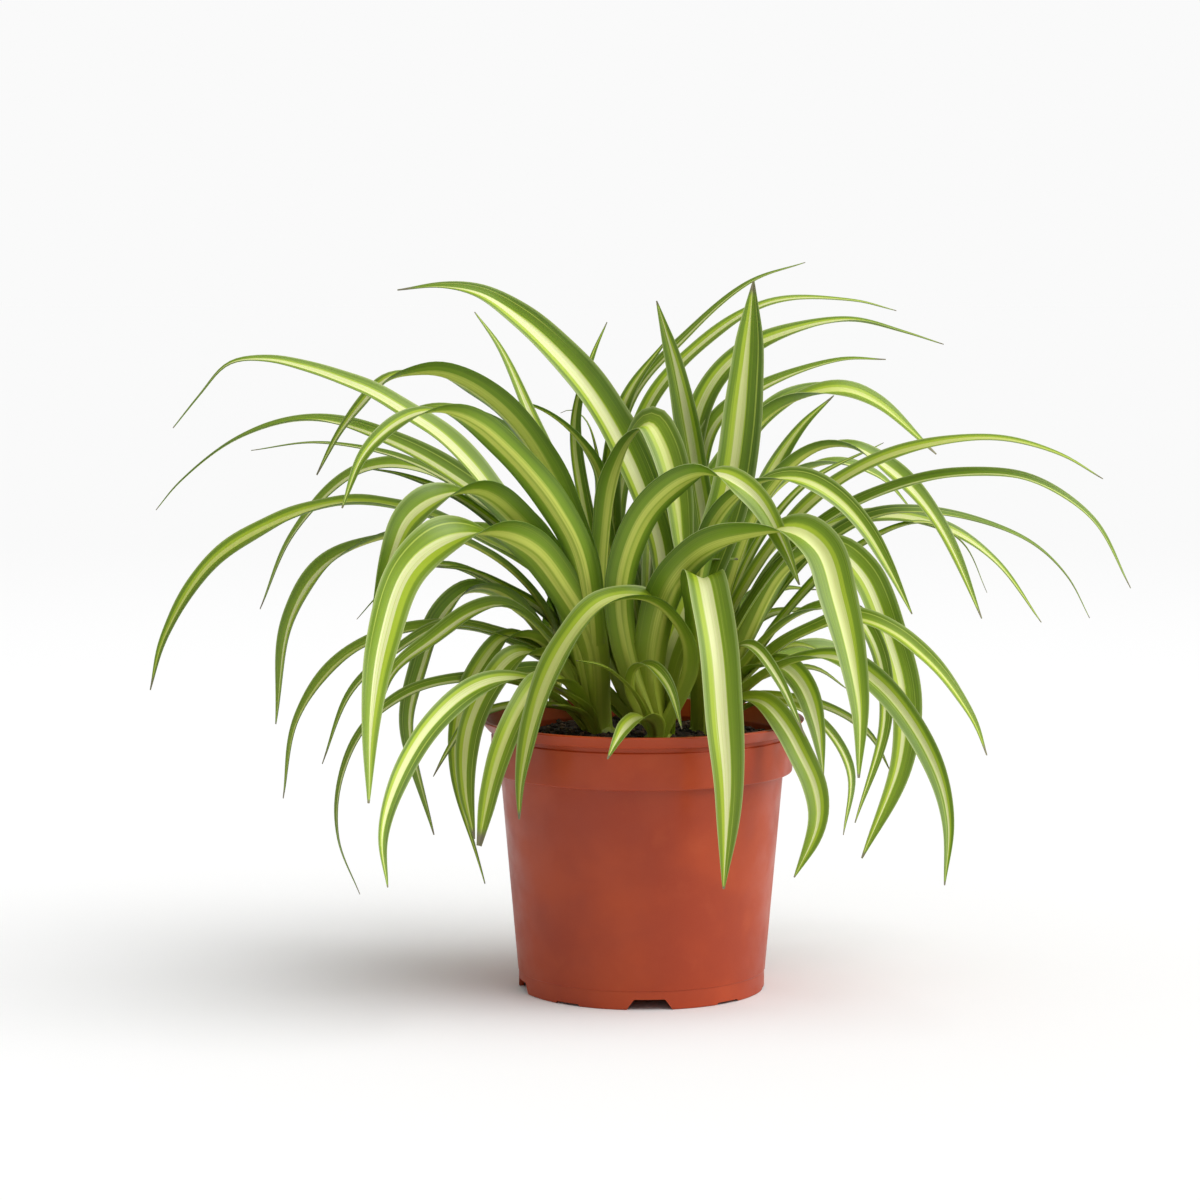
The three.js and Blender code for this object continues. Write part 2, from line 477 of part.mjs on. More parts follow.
// Each half of the blade is split the same way above and below
function bladeSolid(vertices, steps) {
  const faces = [[0, 2, 1], [0, 3, 2]];
  for (let i = 0; i < steps - 1; i += 1) {
    for (let k = 0; k < 4; k += 1) {
      const a = 4 * i + k;
      const b = 4 * i + ((k + 1) % 4);
      const [c, d] = [b + 4, a + 4];
      if (k % 2 === 0) faces.push([a, b, c], [a, c, d]);
      else faces.push([a, b, d], [b, c, d]);
    }
  }
  const last = 4 * (steps - 1);
  for (let k = 0; k < 4; k += 1) faces.push([last + k, last + ((k + 1) % 4), 4 * steps]);
  const mesh = new wasm.Mesh({
    numProp: 3,
    vertProperties: new Float32Array(vertices.flat()),
    triVerts: new Uint32Array(faces.flat()),
  });
  return new wasm.Manifold(mesh);
}

// Where leaves close in a small hollow between them, the hollow is filled
function largestShell(solid) {
  const shells = solid.decompose();
  return shells.reduce((largest, shell) => (shell.volume() > largest.volume() ? shell : largest));
}

function makeRosette(leaves, [x, y]) {
  let rosette = upright(CROWN_RADIUS, CROWN_BOTTOM, CROWN_TOP, CROWN_SIDES, x, y);
  for (const one of leaves) rosette = rosette.add(blade(one, [x, y]));
  return largestShell(rosette);
}

// The plant

function named(name, solid, color, roughness) {
  const material = new THREE.MeshStandardMaterial({ color, roughness, metalness: 0 });
  const mesh = new THREE.Mesh(geometryFrom(solid), material);
  mesh.name = name;
  return mesh;
}

const plant = new THREE.Group();
plant.add(named('pot', makePot(), TERRACOTTA, 0.42));
plant.add(named('soil', makeSoil(), SOIL_BROWN, 0.95));
plant.add(named('rosette_left', makeRosette(LEFT_LEAVES, CROWNS.left), LEAF_GREEN, 0.5));
plant.add(named('rosette_middle', makeRosette(MIDDLE_LEAVES, CROWNS.middle), LEAF_GREEN, 0.5));
plant.add(named('rosette_right', makeRosette(RIGHT_LEAVES, CROWNS.right), LEAF_GREEN, 0.5));
const backLeaves = [...BACK_LEAVES, ...rearLeaves(CROWNS.back)];
plant.add(named('rosette_back', makeRosette(backLeaves, CROWNS.back), LEAF_GREEN, 0.5));

export default plant;
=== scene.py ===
# %% [markdown]
# # A potted spider plant
#
# A spider plant grows as rosettes of long, arching leaves. Each leaf is folded along its
# middle, green at the sides and cream down the centre. Here four rosettes share one
# terracotta-coloured nursery pot.
#
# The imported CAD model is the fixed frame. Its solids give every piece its place, and this
# lesson dresses each of them with a finer mesh and a finish of its own.

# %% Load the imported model
import math
import random

import bmesh
import bpy
import numpy as np
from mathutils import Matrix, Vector, noise


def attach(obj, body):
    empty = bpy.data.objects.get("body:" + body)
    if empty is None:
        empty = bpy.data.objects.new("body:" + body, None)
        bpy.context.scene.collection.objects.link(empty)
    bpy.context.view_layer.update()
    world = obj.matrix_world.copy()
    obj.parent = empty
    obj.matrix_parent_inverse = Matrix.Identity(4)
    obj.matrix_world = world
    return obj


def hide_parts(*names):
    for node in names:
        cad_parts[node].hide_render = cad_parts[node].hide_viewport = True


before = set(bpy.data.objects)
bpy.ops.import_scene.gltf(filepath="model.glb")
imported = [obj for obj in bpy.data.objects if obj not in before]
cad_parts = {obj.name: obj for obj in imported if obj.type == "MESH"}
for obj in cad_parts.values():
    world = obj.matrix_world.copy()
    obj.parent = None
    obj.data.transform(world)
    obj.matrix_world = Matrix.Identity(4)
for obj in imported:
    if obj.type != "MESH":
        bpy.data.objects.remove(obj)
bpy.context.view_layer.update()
print("CAD nodes:", sorted(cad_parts))

# %% [markdown]
# ## Units and small tools
#
# Sizes below are in millimetres, as a gardener would measure them. Blender works in metres,
# so MM turns them once, where a mesh is made. Colours are given as they look on a screen,
# from 0 to 255, and are turned into the linear values that a shader needs. The plant and the
# floor stand in two collections, because the lamps light them differently.

# %% Units and colours
MM = 0.001
plant_parts = bpy.data.collections.new("plant and pot")
floor_parts = bpy.data.collections.new("floor")


def screen_colour(red, green, blue):
    """A linear colour with full alpha from the three numbers that a screen shows."""
    def linear(value):
        share = value / 255
        return share / 12.92 if share <= 0.04045 else ((share + 0.055) / 1.055) ** 2.4
    return (linear(red), linear(green), linear(blue), 1)


def show(thing):
    bpy.context.scene.collection.objects.link(thing)


def place_piece(name, mesh, finishes, slot, *nodes):
    """Makes a mesh one piece of the plant: on the root body, in place of its CAD nodes."""
    piece = bpy.data.objects.new(name, mesh)
    show(piece)
    for finish in finishes:
        mesh.materials.append(finish)
    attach(piece, "root")
    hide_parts(*nodes)
    plant_parts.objects.link(piece)
    print(f"{name}: {len(mesh.polygons)} faces")


print("one millimetre is", MM, "m")

# %% [markdown]
# ## The camera
#
# The photograph was taken from the front, a little above the rim of the pot, with a long
# lens. The camera's place was worked out from the ellipses of the lip, the band and the
# foot: a round pot gives away both the height and the tilt of the camera.

# %% Camera
CAMERA_PLACE = (-19.3, -1560, 323)
CAMERA_DIP = 5.245
LENS = 102
SENSOR = 36

camera_data = bpy.data.cameras.new("camera")
camera_data.lens = LENS
camera_data.sensor_width = SENSOR
camera = bpy.data.objects.new("camera", camera_data)
camera.location = Vector(CAMERA_PLACE) * MM
camera.rotation_euler = (math.radians(90 - CAMERA_DIP), 0, 0)
show(camera)
bpy.context.scene.camera = camera
print("camera height", CAMERA_PLACE[2], "mm, dip", CAMERA_DIP, "degrees")

# %% [markdown]
# ## The sky
#
# The plant stands in a bright white room, so the sky gives much of the light and the soft dark
# rim around the foot. The wall behind looks brighter than it lights, so the world has two
# strengths: one for what the camera sees, and one for what lights the plant.

# %% Sky
SKY_SEEN = 0.956
SKY_LIGHT = 0.5
WHITE = (1, 1, 1, 1)

world = bpy.data.worlds.new("white room")
world.use_nodes = True
bpy.context.scene.world = world
sky_nodes = world.node_tree.nodes
sky_links = world.node_tree.links
background = sky_nodes["Background"]
background.inputs["Color"].default_value = WHITE
rays = sky_nodes.new("ShaderNodeLightPath")
strength = sky_nodes.new("ShaderNodeMapRange")
strength.inputs["To Min"].default_value = SKY_LIGHT
strength.inputs["To Max"].default_value = SKY_SEEN
sky_links.new(rays.outputs["Is Camera Ray"], strength.inputs["Value"])
sky_links.new(strength.outputs["Result"], background.inputs["Strength"])
bpy.context.scene.view_settings.view_transform = "Standard"
print("sky seen at", SKY_SEEN, "and lighting at", SKY_LIGHT)

# %% [markdown]
# ## Lamps
#
# A lamp high on the right and a lower one beside it brighten the right side of the pot and the
# leaves. The floor has a broader lamp of its own, which draws the wide, soft shadow to the
# left: the other two would draw harder ones that the photograph lacks.

# %% Lamps
HIGH_LAMP = (0.80, -0.25, 1.0)
HIGH_STRENGTH = 2.5
HIGH_SPREAD = 50
LOW_LAMP = (0.90, -0.40, 0.35)
LOW_STRENGTH = 1.0
LOW_SPREAD = 30
FLOOR_LAMP = (0.80, -0.25, 1.6)
FLOOR_STRENGTH = 2.13
FLOOR_SPREAD = 60


def far_lamp(name, toward, strength, spread, lit):
    """A lamp so far away that it is equally strong everywhere, for one collection alone."""
    data = bpy.data.lights.new(name, "SUN")
    data.energy = strength
    data.angle = math.radians(spread)
    lamp = bpy.data.objects.new(name, data)
    lamp.rotation_euler = Vector(toward).to_track_quat("Z", "Y").to_euler()
    lamp.light_linking.receiver_collection = lit
    show(lamp)
    height = math.degrees(math.atan2(toward[2], math.hypot(*toward[:2])))
    print(name, round(height), "degrees above the floor")


far_lamp("high lamp", HIGH_LAMP, HIGH_STRENGTH, HIGH_SPREAD, plant_parts)
far_lamp("low lamp", LOW_LAMP, LOW_STRENGTH, LOW_SPREAD, plant_parts)
far_lamp("floor lamp", FLOOR_LAMP, FLOOR_STRENGTH, FLOOR_SPREAD, floor_parts)

# %% [markdown]
# ## Shader arithmetic
#
# A finish is a small calculation: how far a point is from the stripe, how near the tip, how
# much the veins show. Written as nodes one by one it is long and hard to read, so this class
# wraps one output of a node, and ordinary arithmetic on it adds the nodes.

# %% Shader arithmetic
class Signal:
    """What comes out of one shader node. Arithmetic on it adds Math nodes to its material."""

    def __init__(self, finish, socket):
        self.finish = finish
        self.socket = socket

    def maths(self, operation, *values):
        sockets = dict(enumerate(values))
        return self.finish.node("ShaderNodeMath", {"operation": operation}, sockets)

    def __add__(self, other):
        return self.maths("ADD", self, other)

    def __sub__(self, other):
        return self.maths("SUBTRACT", self, other)

    def __rsub__(self, other):
        return self.maths("SUBTRACT", other, self)

    def __mul__(self, other):
        return self.maths("MULTIPLY", self, other)

    def __abs__(self):
        return self.maths("ABSOLUTE", self)

    __radd__ = __add__
    __rmul__ = __mul__

    def between(self, low, high, from_value=0, to_value=1):
        """Runs smoothly from one value to another while this signal goes from low to high."""
        settings = {"interpolation_type": "SMOOTHSTEP"}
        sockets = {"Value": self, "From Min": low, "From Max": high}
        sockets.update({"To Min": from_value, "To Max": to_value})
        return self.finish.node("ShaderNodeMapRange", settings, sockets)


print("made the class", Signal.__name__)

# %% [markdown]
# ## A finish
#
# Every surface here has one finish: plastic, soil, a crown, each face of a leaf. The class
# keeps the nodes of one material. One method adds a node of any kind, and short ones add those
# that come often: noise, mixing, a ramp, a bump, and a number that the mesh carries.

# %% Finish class
class Finish:
    """The node tree of one material."""

    def __init__(self, name):
        self.material = bpy.data.materials.new(name)
        self.material.use_nodes = True
        self.nodes = self.material.node_tree.nodes
        self.links = self.material.node_tree.links
        self.nodes.clear()

    def node(self, kind, settings, sockets, output=0):
        """Adds a node: its settings first, then the values or links of its sockets."""
        made = self.nodes.new(kind)
        for name, value in settings.items():
            if name == "stops":
                self.set_stops(made.color_ramp, value)
            else:
                setattr(made, name, value)
        for name, value in sockets.items():
            if isinstance(value, Signal):
                self.links.new(value.socket, made.inputs[name])
            else:
                made.inputs[name].default_value = value
        return Signal(self, made.outputs[output]) if made.outputs else None

    def set_stops(self, ramp, stops):
        while len(ramp.elements) > 1:
            ramp.elements.remove(ramp.elements[0])
        ramp.elements[0].position, ramp.elements[0].color = stops[0]
        for position, colour in stops[1:]:
            ramp.elements.new(position).color = colour

    def spot(self):
        """Where a point is on the plant, in metres."""
        return self.node("ShaderNodeTexCoord", {}, {}, "Object")

    def measured(self, name):
        """A number that the mesh carries at each of its points."""
        return self.node("ShaderNodeAttribute", {"attribute_name": name}, {}, "Fac")

    def vector(self, x, y, z):
        return self.node("ShaderNodeCombineXYZ", {}, {0: x, 1: y, 2: z})

    def cloud(self, place, scale, detail):
        """Soft noise from about 0.3 to 0.7."""
        sockets = {"Vector": place, "Scale": scale, "Detail": detail}
        return self.node("ShaderNodeTexNoise", {}, sockets, "Fac")

    def mix(self, share, first, second):
        settings = {"data_type": "RGBA"}
        return self.node("ShaderNodeMix", settings, {0: share, 6: first, 7: second}, 2)

    def ramp(self, value, stops):
        return self.node("ShaderNodeValToRGB", {"stops": stops}, {"Fac": value}, "Color")

    def bump(self, height, strength, distance):
        sockets = {"Height": height, "Strength": strength, "Distance": distance}
        return self.node("ShaderNodeBump", {}, sockets)

    def done(self, **sockets):
        """Ends the tree in a Principled surface and gives the material."""
        named = {name.replace("_", " "): value for name, value in sockets.items()}
        surface = self.node("ShaderNodeBsdfPrincipled", {}, named)
        self.node("ShaderNodeOutputMaterial", {}, {"Surface": surface})
        print("finish:", self.material.name, "with", len(self.nodes), "nodes")
        return self.material


print("made the class", Finish.__name__)

# %% [markdown]
# ## The floor
#
# The floor is a plain white sheet that runs past the horizon, and no part of the plant. Its white is worked
# out so that sky and lamp together make it as bright as the wall behind, so no edge shows. Near the pot its
# white is painted a little brighter: a painted pool of light, as if the lamps were turned to the plant.

# %% Floor
FLOOR_REACH = 60
# the painted pool of light near the pot: how much brighter its white is painted, and where that fades out
PAINTED_LIGHT_NEAR_POT = 1.07
NEAR_END = 0.5
FAR_START = 3


def grey(share):
    return (share, share, share, 1)


lamp_on_floor = FLOOR_STRENGTH * Vector(FLOOR_LAMP).normalized().z / math.pi
floor_grey = SKY_SEEN / (SKY_LIGHT + lamp_on_floor)
floor_finish = Finish("white floor")
spot = floor_finish.spot()
from_pot = floor_finish.node("ShaderNodeVectorMath", {"operation": "LENGTH"}, {0: spot}, "Value")
far = from_pot.between(NEAR_END, FAR_START)
# painted light: the floor's white is painted brighter near the pot, a painted pool of light that fades out
# with distance
white = floor_finish.mix(far, grey(floor_grey * PAINTED_LIGHT_NEAR_POT), grey(floor_grey))
floor_white = floor_finish.done(Base_Color=white, Roughness=1, Specular_IOR_Level=0)
floor_mesh = bpy.data.meshes.new("floor")
corners = [(x * FLOOR_REACH, y * FLOOR_REACH, 0) for x, y in [(-1, -1), (1, -1), (1, 1), (-1, 1)]]
floor_mesh.from_pydata(corners, [], [(0, 1, 2, 3)])
floor_mesh.materials.append(floor_white)
floor = bpy.data.objects.new("floor", floor_mesh)
show(floor)
floor_parts.objects.link(floor)
print("floor", 2 * FLOOR_REACH, "m across, white", round(floor_grey, 3))

# %% [markdown]
# ## The pot's sizes
#
# A nursery pot is moulded in one piece. From the top down it has a flared lip, a groove, a band,
# a tapering wall, a small step and the foot ring. These are its sizes, outside and inside.

# %% Pot sizes
POT_HEIGHT = 125.5
LIP_RADIUS = 75
LIP_HEIGHT = 5.2
LIP_FLARE = 4
LIP_FLAT = 2.6
BAND_RADIUS = 69.6
BAND_TOP = 117.7
BAND_BOTTOM = 101.2
GROOVE_DEPTH = 0.8
WALL_TOP_RADIUS = 65.4
FOOT_RADIUS = 57
FOOT_STEP_HEIGHT = 8.3
FOOT_STEP = 0.35
WALL = 2.2
FLOOR_UNDERSIDE = 5.4
INNER_WALL_TOP = WALL_TOP_RADIUS - WALL
INNER_BAND = BAND_RADIUS - WALL
INNER_FLOOR_RADIUS = FOOT_RADIUS + FOOT_STEP - WALL
INNER_FLOOR_ROUND = 3
FLOOR_TOP = FLOOR_UNDERSIDE + WALL
INNER_STEP_TOP = BAND_BOTTOM + 3
INNER_STEP_BOTTOM = BAND_BOTTOM - 1.5
print("pot:", 2 * LIP_RADIUS, "mm across and", POT_HEIGHT, "mm high")

# %% [markdown]
# ## The pot's outline
#
# The whole pot is one profile turned round its axis, as a potter would draw it. Moulded plastic
# has no sharp edge, so each corner carries the radius of its round and becomes a short arc.

# %% Pot profile
ROUND_STEPS = 5
MOST_CUT = 0.48


def rounded(outline):
    """An outline of (radius, height, round): each corner becomes a short arc of that radius."""
    made = []
    for i, (radius, height, turn) in enumerate(outline):
        corner = Vector((radius, height))
        if turn == 0 or i in (0, len(outline) - 1):
            made.append(corner)
            continue
        before = Vector(outline[i - 1][:2]) - corner
        after = Vector(outline[i + 1][:2]) - corner
        half_angle = before.angle(after) / 2
        cut = turn / math.tan(half_angle)
        cut = min(cut, MOST_CUT * before.length, MOST_CUT * after.length)
        start = corner + before.normalized() * cut
        end = corner + after.normalized() * cut
        for k in range(ROUND_STEPS + 1):
            t = k / ROUND_STEPS
            made.append(start * (1 - t) ** 2 + corner * 2 * t * (1 - t) + end * t ** 2)
    return made


lip_bottom = POT_HEIGHT - LIP_HEIGHT
groove = BAND_RADIUS - GROOVE_DEPTH
pot_outline = rounded([
    (0, FLOOR_UNDERSIDE, 0),
    (FOOT_RADIUS - WALL, FLOOR_UNDERSIDE, 0.6),
    (FOOT_RADIUS - WALL, 0, 0.5),
    (FOOT_RADIUS, 0, 0.7),
    (FOOT_RADIUS, FOOT_STEP_HEIGHT, 0.3),
    (FOOT_RADIUS + FOOT_STEP, FOOT_STEP_HEIGHT + 0.5, 0.3),
    (WALL_TOP_RADIUS, BAND_BOTTOM - 0.4, 0.6),
    (BAND_RADIUS, BAND_BOTTOM, 1.0),
    (BAND_RADIUS, BAND_TOP, 0.5),
    (groove, BAND_TOP + 0.4, 0.3),
    (groove, lip_bottom - 0.4, 0.3),
    (LIP_RADIUS - LIP_FLARE, lip_bottom, 0.5),
    (LIP_RADIUS, POT_HEIGHT - 0.4, 0.8),
    (LIP_RADIUS - 0.4, POT_HEIGHT, 0.4),
    (LIP_RADIUS - LIP_FLAT, POT_HEIGHT, 0.7),
    (INNER_BAND, BAND_TOP, 2),
    (INNER_BAND, INNER_STEP_TOP, 1),
    (INNER_WALL_TOP, INNER_STEP_BOTTOM, 1),
    (INNER_FLOOR_RADIUS, FLOOR_TOP + INNER_FLOOR_ROUND, 1),
    (INNER_FLOOR_RADIUS - INNER_FLOOR_ROUND, FLOOR_TOP, 1),
    (0, FLOOR_TOP, 0),
])
print("pot profile:", len(pot_outline), "points")

# %% [markdown]
# ## Turning the pot
#
# The profile is turned round the axis in many narrow steps, so that the lip stays round from
# close by: each of its points becomes a ring, and quads join one ring to the next. The soil and
# the crowns are turned in the same way further on.

# %% Turned shell
POT_STEPS = 240


def turned(name, outline, steps):
    """A closed mesh: the outline, from axis to axis, turned once round the Z axis."""
    turns = [math.tau * k / steps for k in range(steps)]
    points = [(0, 0, outline[0][1] * MM), (0, 0, outline[-1][1] * MM)]
    for radius, height in outline[1:-1]:
        points += [(radius * MM * math.cos(t), radius * MM * math.sin(t), height * MM) for t in turns]
    rings = [list(range(low, low + steps)) for low in range(2, len(points), steps)]
    faces = []
    for k in range(steps):
        j = (k + 1) % steps
        faces.append((0, rings[0][j], rings[0][k]))
        faces += [(low[k], low[j], high[j], high[k]) for low, high in zip(rings, rings[1:])]
        faces.append((1, rings[-1][k], rings[-1][j]))
    mesh = bpy.data.meshes.new(name)
    mesh.from_pydata(points, [], faces)
    return mesh


shell_mesh = turned("pot", pot_outline, POT_STEPS)
print("turned shell:", len(shell_mesh.polygons), "faces")

# %% [markdown]
# ## Notches in the foot
#
# Water runs out from under the pot through notches in the foot ring, some deep and some
# shallow. Inserts in the mould leave them, so each is made as such an insert: a closed prism
# that flares softly towards the ground.

# %% Notches
NOTCHES = 9
NOTCH_TURN = 273
DEEP_NOTCHES = (0, 3, 5, 7)
DEEP_NOTCH = (21, 14, 4.8, 0.9)
SHALLOW_NOTCH = (14, 12, 1.1, 0.3)
BELOW_FOOT = -2


def add_prism(shape, outline, placed):
    """Adds a closed prism: the function places each point of its outline at either end."""
    rings = []
    for end in (0, 1):
        rings.append([shape.verts.new(placed(p, end)) for p in outline])
    count = len(outline)
    for i in range(count):
        j = (i + 1) % count
        shape.faces.new((rings[0][i], rings[0][j], rings[1][j], rings[1][i]))
    shape.faces.new(reversed(rings[0]))
    shape.faces.new(rings[1])


def notch_outline(bottom_width, top_width, height, turn):
    """A notch seen from outside: its widths at the ground and on top, its height and rounds."""
    top, bottom = top_width / 2, bottom_width / 2
    right = rounded([
        (bottom + turn + 2, BELOW_FOOT, 0),
        (bottom + turn + 2, 0, 0),
        (bottom, 0, turn),
        (top, height, turn),
        (0, height, 0),
    ])[1:-1]
    left = [Vector((-p[0], p[1])) for p in reversed(right)]
    low = [Vector((-bottom - 5, BELOW_FOOT)), Vector((bottom + 5, BELOW_FOOT))]
    return right + left + low


def add_notch(shape, angle, notch):
    along = Vector((math.cos(angle), math.sin(angle), 0))
    across = Vector((-math.sin(angle), math.cos(angle), 0))
    reaches = (FOOT_RADIUS - 4 * WALL, FOOT_RADIUS + 3 * WALL)

    def placed(point, end):
        return (along * reaches[end] + across * point[0] + Vector((0, 0, point[1]))) * MM
    add_prism(shape, notch_outline(*notch), placed)


inserts = bmesh.new()
for i in range(NOTCHES):
    notch = DEEP_NOTCH if i in DEEP_NOTCHES else SHALLOW_NOTCH
    add_notch(inserts, math.radians(NOTCH_TURN + i * 360 / NOTCHES), notch)
print("notches:", NOTCHES, "of which deep:", len(DEEP_NOTCHES))

# %% [markdown]
# ## Drain holes
#
# A ring of round holes lets the water out of the soil. Each is a round insert that goes right
# through the pot's floor.

# %% Drain holes
DRAINS = 6
DRAIN_RADIUS = 4.5
DRAIN_CIRCLE = 34
DRAIN_STEPS = 32


def add_drain(shape, angle):
    x, y = DRAIN_CIRCLE * math.cos(angle), DRAIN_CIRCLE * math.sin(angle)
    turns = [math.tau * k / DRAIN_STEPS for k in range(DRAIN_STEPS)]
    circle = [(DRAIN_RADIUS * math.cos(t), DRAIN_RADIUS * math.sin(t)) for t in turns]
    add_prism(shape, circle, lambda p, end: Vector((x + p[0], y + p[1], end * 2 * FLOOR_TOP)) * MM)


for i in range(DRAINS):
    add_drain(inserts, math.tau * i / DRAINS)
bmesh.ops.recalc_face_normals(inserts, faces=inserts.faces)
inserts_mesh = bpy.data.meshes.new("inserts")
inserts.to_mesh(inserts_mesh)
inserts.free()
print("drain holes:", DRAINS)

# %% [markdown]
# ## Cutting the pot
#
# One Boolean takes all the inserts out of the shell at once. Its result is shaded smooth, but
# its sharper corners, such as those of the notches, stay crisp.

# %% Pot mesh
POT_CRISP_ANGLE = 38


def subtract(mesh, cutter_mesh):
    """The first mesh with the second cut out of it."""
    body = bpy.data.objects.new("body", mesh)
    cutter = bpy.data.objects.new("cutter", cutter_mesh)
    for each in (body, cutter):
        show(each)
    cut = body.modifiers.new("cut", "BOOLEAN")
    cut.operation = "DIFFERENCE"
    cut.object = cutter
    shown = body.evaluated_get(bpy.context.evaluated_depsgraph_get())
    made = bpy.data.meshes.new_from_object(shown)
    for each in (body, cutter):
        bpy.data.objects.remove(each)
    return made


pot_mesh = subtract(shell_mesh, inserts_mesh)
pot_mesh.name = "pot_shell"
pot_mesh.shade_smooth()
pot_mesh.set_sharp_from_angle(angle=math.radians(POT_CRISP_ANGLE))
print("pot:", len(pot_mesh.polygons), "faces")

# %% [markdown]
# ## Terracotta-coloured plastic
#
# The plastic imitates fired clay: an orange brown with a satin skin. Up close it has a very
# fine grain from the mould, a slight cloudiness in the colour and a few duller patches where
# it was handled. All of it is soft noise at three scales.

# %% Pot finish
TERRACOTTA = screen_colour(168, 62, 17)
TERRACOTTA_DEEP = screen_colour(152, 51, 13)
TERRACOTTA_DUST = screen_colour(174, 75, 36)
POT_SHINE = 0.4
CLOUD_SCALE = 22
HANDLED_SCALE = 75
GRAIN_SCALE = 2400
GRAIN_DEPTH = 0.0002
SATIN = (0.36, 0.5)

pot_finish = Finish("terracotta plastic")
spot = pot_finish.spot()
clouds = pot_finish.cloud(spot, CLOUD_SCALE, 4)
handled = pot_finish.cloud(spot, HANDLED_SCALE, 5)
grain = pot_finish.cloud(spot, GRAIN_SCALE, 2)
clay = pot_finish.mix(clouds.between(0.35, 0.65), TERRACOTTA, TERRACOTTA_DEEP)
clay = pot_finish.mix(handled.between(0.55, 0.8, 0, 0.35), clay, TERRACOTTA_DUST)
clay = pot_finish.mix(grain.between(0.45, 0.75, 0, 0.12), clay, TERRACOTTA_DUST)
skin = pot_finish.bump(grain, 0.12, GRAIN_DEPTH)
satin = handled.between(0.3, 0.7, *SATIN)
terracotta = pot_finish.done(Base_Color=clay, Roughness=satin, Normal=skin, Specular_IOR_Level=POT_SHINE)
place_piece("pot_shell", pot_mesh, [terracotta], "pot_plastic", "pot")

# %% [markdown]
# ## Potting soil
#
# The soil is a low mound of dark, crumbly peat. The whole mass is made, because it shows
# through the holes in the pot's floor as well as at the top. Only its top is rough: noise
# lifts a fine grid there, and small crumbs are scattered on it afterwards.

# %% Soil mesh
CLEARANCE = 0.3
SOIL_EDGE_HEIGHT = 115
SOIL_CENTRE_HEIGHT = 119
SOIL_WAVE = 0.9
SOIL_RINGS = 70
SOIL_STEPS = 220
WAVE_ACROSS = 7.3
WAVE_DEEP = 6.1
LUMP_SIZE = 9
LUMP_RISE = 1.0
CLOD_SIZE = 2.6
CLOD_RISE = 0.5


def soil_height(x, y):
    """The CAD soil's low mound, with its small waves."""
    from_axis = math.hypot(x, y) / INNER_BAND
    mound = (SOIL_CENTRE_HEIGHT - SOIL_EDGE_HEIGHT) * (1 - from_axis ** 2)
    waves = SOIL_WAVE * math.sin(x / WAVE_ACROSS) * math.cos(y / WAVE_DEEP) * (1 - from_axis ** 4)
    return SOIL_EDGE_HEIGHT + mound + waves


def soil_roughness(x, y):
    """Lumps of two sizes, in millimetres above or below the mound."""
    lumps = noise.fractal(Vector((x / LUMP_SIZE, y / LUMP_SIZE, 0.5)), 1.0, 2.1, 4)
    clods = noise.cell(Vector((x / CLOD_SIZE, y / CLOD_SIZE, 3.5)))
    return LUMP_RISE * lumps + CLOD_RISE * (clods - 0.5)


gap = 2 * CLEARANCE
soil_edge = INNER_BAND - gap
soil_outline = [
    (0, FLOOR_TOP + CLEARANCE),
    (INNER_FLOOR_RADIUS - INNER_FLOOR_ROUND - CLEARANCE, FLOOR_TOP + CLEARANCE),
    (INNER_FLOOR_RADIUS - gap, FLOOR_TOP + INNER_FLOOR_ROUND),
    (INNER_WALL_TOP - gap, INNER_STEP_BOTTOM),
    (soil_edge, INNER_STEP_TOP + gap),
]
soil_outline += [(soil_edge * ring / SOIL_RINGS, SOIL_EDGE_HEIGHT) for ring in range(SOIL_RINGS, -1, -1)]
soil_mesh = turned("soil_body", soil_outline, SOIL_STEPS)
for vertex in soil_mesh.vertices:
    x, y, z = vertex.co / MM
    if z > SOIL_EDGE_HEIGHT - CLEARANCE:
        vertex.co.z = (soil_height(x, y) + soil_roughness(x, y)) * MM
soil_mesh.shade_smooth()
print("soil:", len(soil_mesh.polygons), "faces")

# %% [markdown]
# ## Crumbs on the soil
#
# Small crumbs lie loose on the mound, most of them fine and a few as large as lentils. Each is
# a dented, flattened ball with its own shade, and none lies where a crown stands.

# %% Soil crumbs
SOIL_SEED = 5
CRUMBS = 900
CRUMB_SIZES = (0.6, 2.2)
CRUMB_STRETCHES = ((0.6, 1.4), (0.6, 1.3), (0.5, 0.9))
CRUMB_DENTS = (0.75, 1.2)
CRUMB_LIFT = 0.3
CROWN_CLEAR = 8
CROWNS = {"left": (-18, 4), "middle": (8, -15), "right": (28, 6), "back": (3, 36)}

chance = random.Random(SOIL_SEED)
lump = bmesh.new()
bmesh.ops.create_icosphere(lump, subdivisions=1, radius=1)
lump_points = np.array([v.co[:] for v in lump.verts])
lump_faces = np.array([[v.index for v in f.verts] for f in lump.faces])
lump.free()
crumb_points, crumb_faces, crumb_shades = [], [], []
while len(crumb_points) < CRUMBS:
    reach = (soil_edge - 2) * math.sqrt(chance.random())
    bearing = chance.uniform(0, math.tau)
    x, y = reach * math.cos(bearing), reach * math.sin(bearing)
    size = chance.triangular(*CRUMB_SIZES, CRUMB_SIZES[0])
    stretch = np.array([chance.uniform(*limits) for limits in CRUMB_STRETCHES])
    dents = np.array([[chance.uniform(*CRUMB_DENTS)] for _ in lump_points])
    shade = chance.random()
    if any(math.hypot(x - cx, y - cy) < CROWN_CLEAR for cx, cy in CROWNS.values()):
        continue
    centre = np.array([x, y, soil_height(x, y) + soil_roughness(x, y) + CRUMB_LIFT * size])
    crumb_faces.append(lump_faces + len(crumb_points) * len(lump_points))
    crumb_points.append(lump_points * dents * stretch * size + centre)
    crumb_shades.append(np.full(len(lump_points), shade))
crumb_mesh = bpy.data.meshes.new("soil_crumbs")
crumb_mesh.from_pydata((np.concatenate(crumb_points) * MM).tolist(), [], np.concatenate(crumb_faces).tolist())
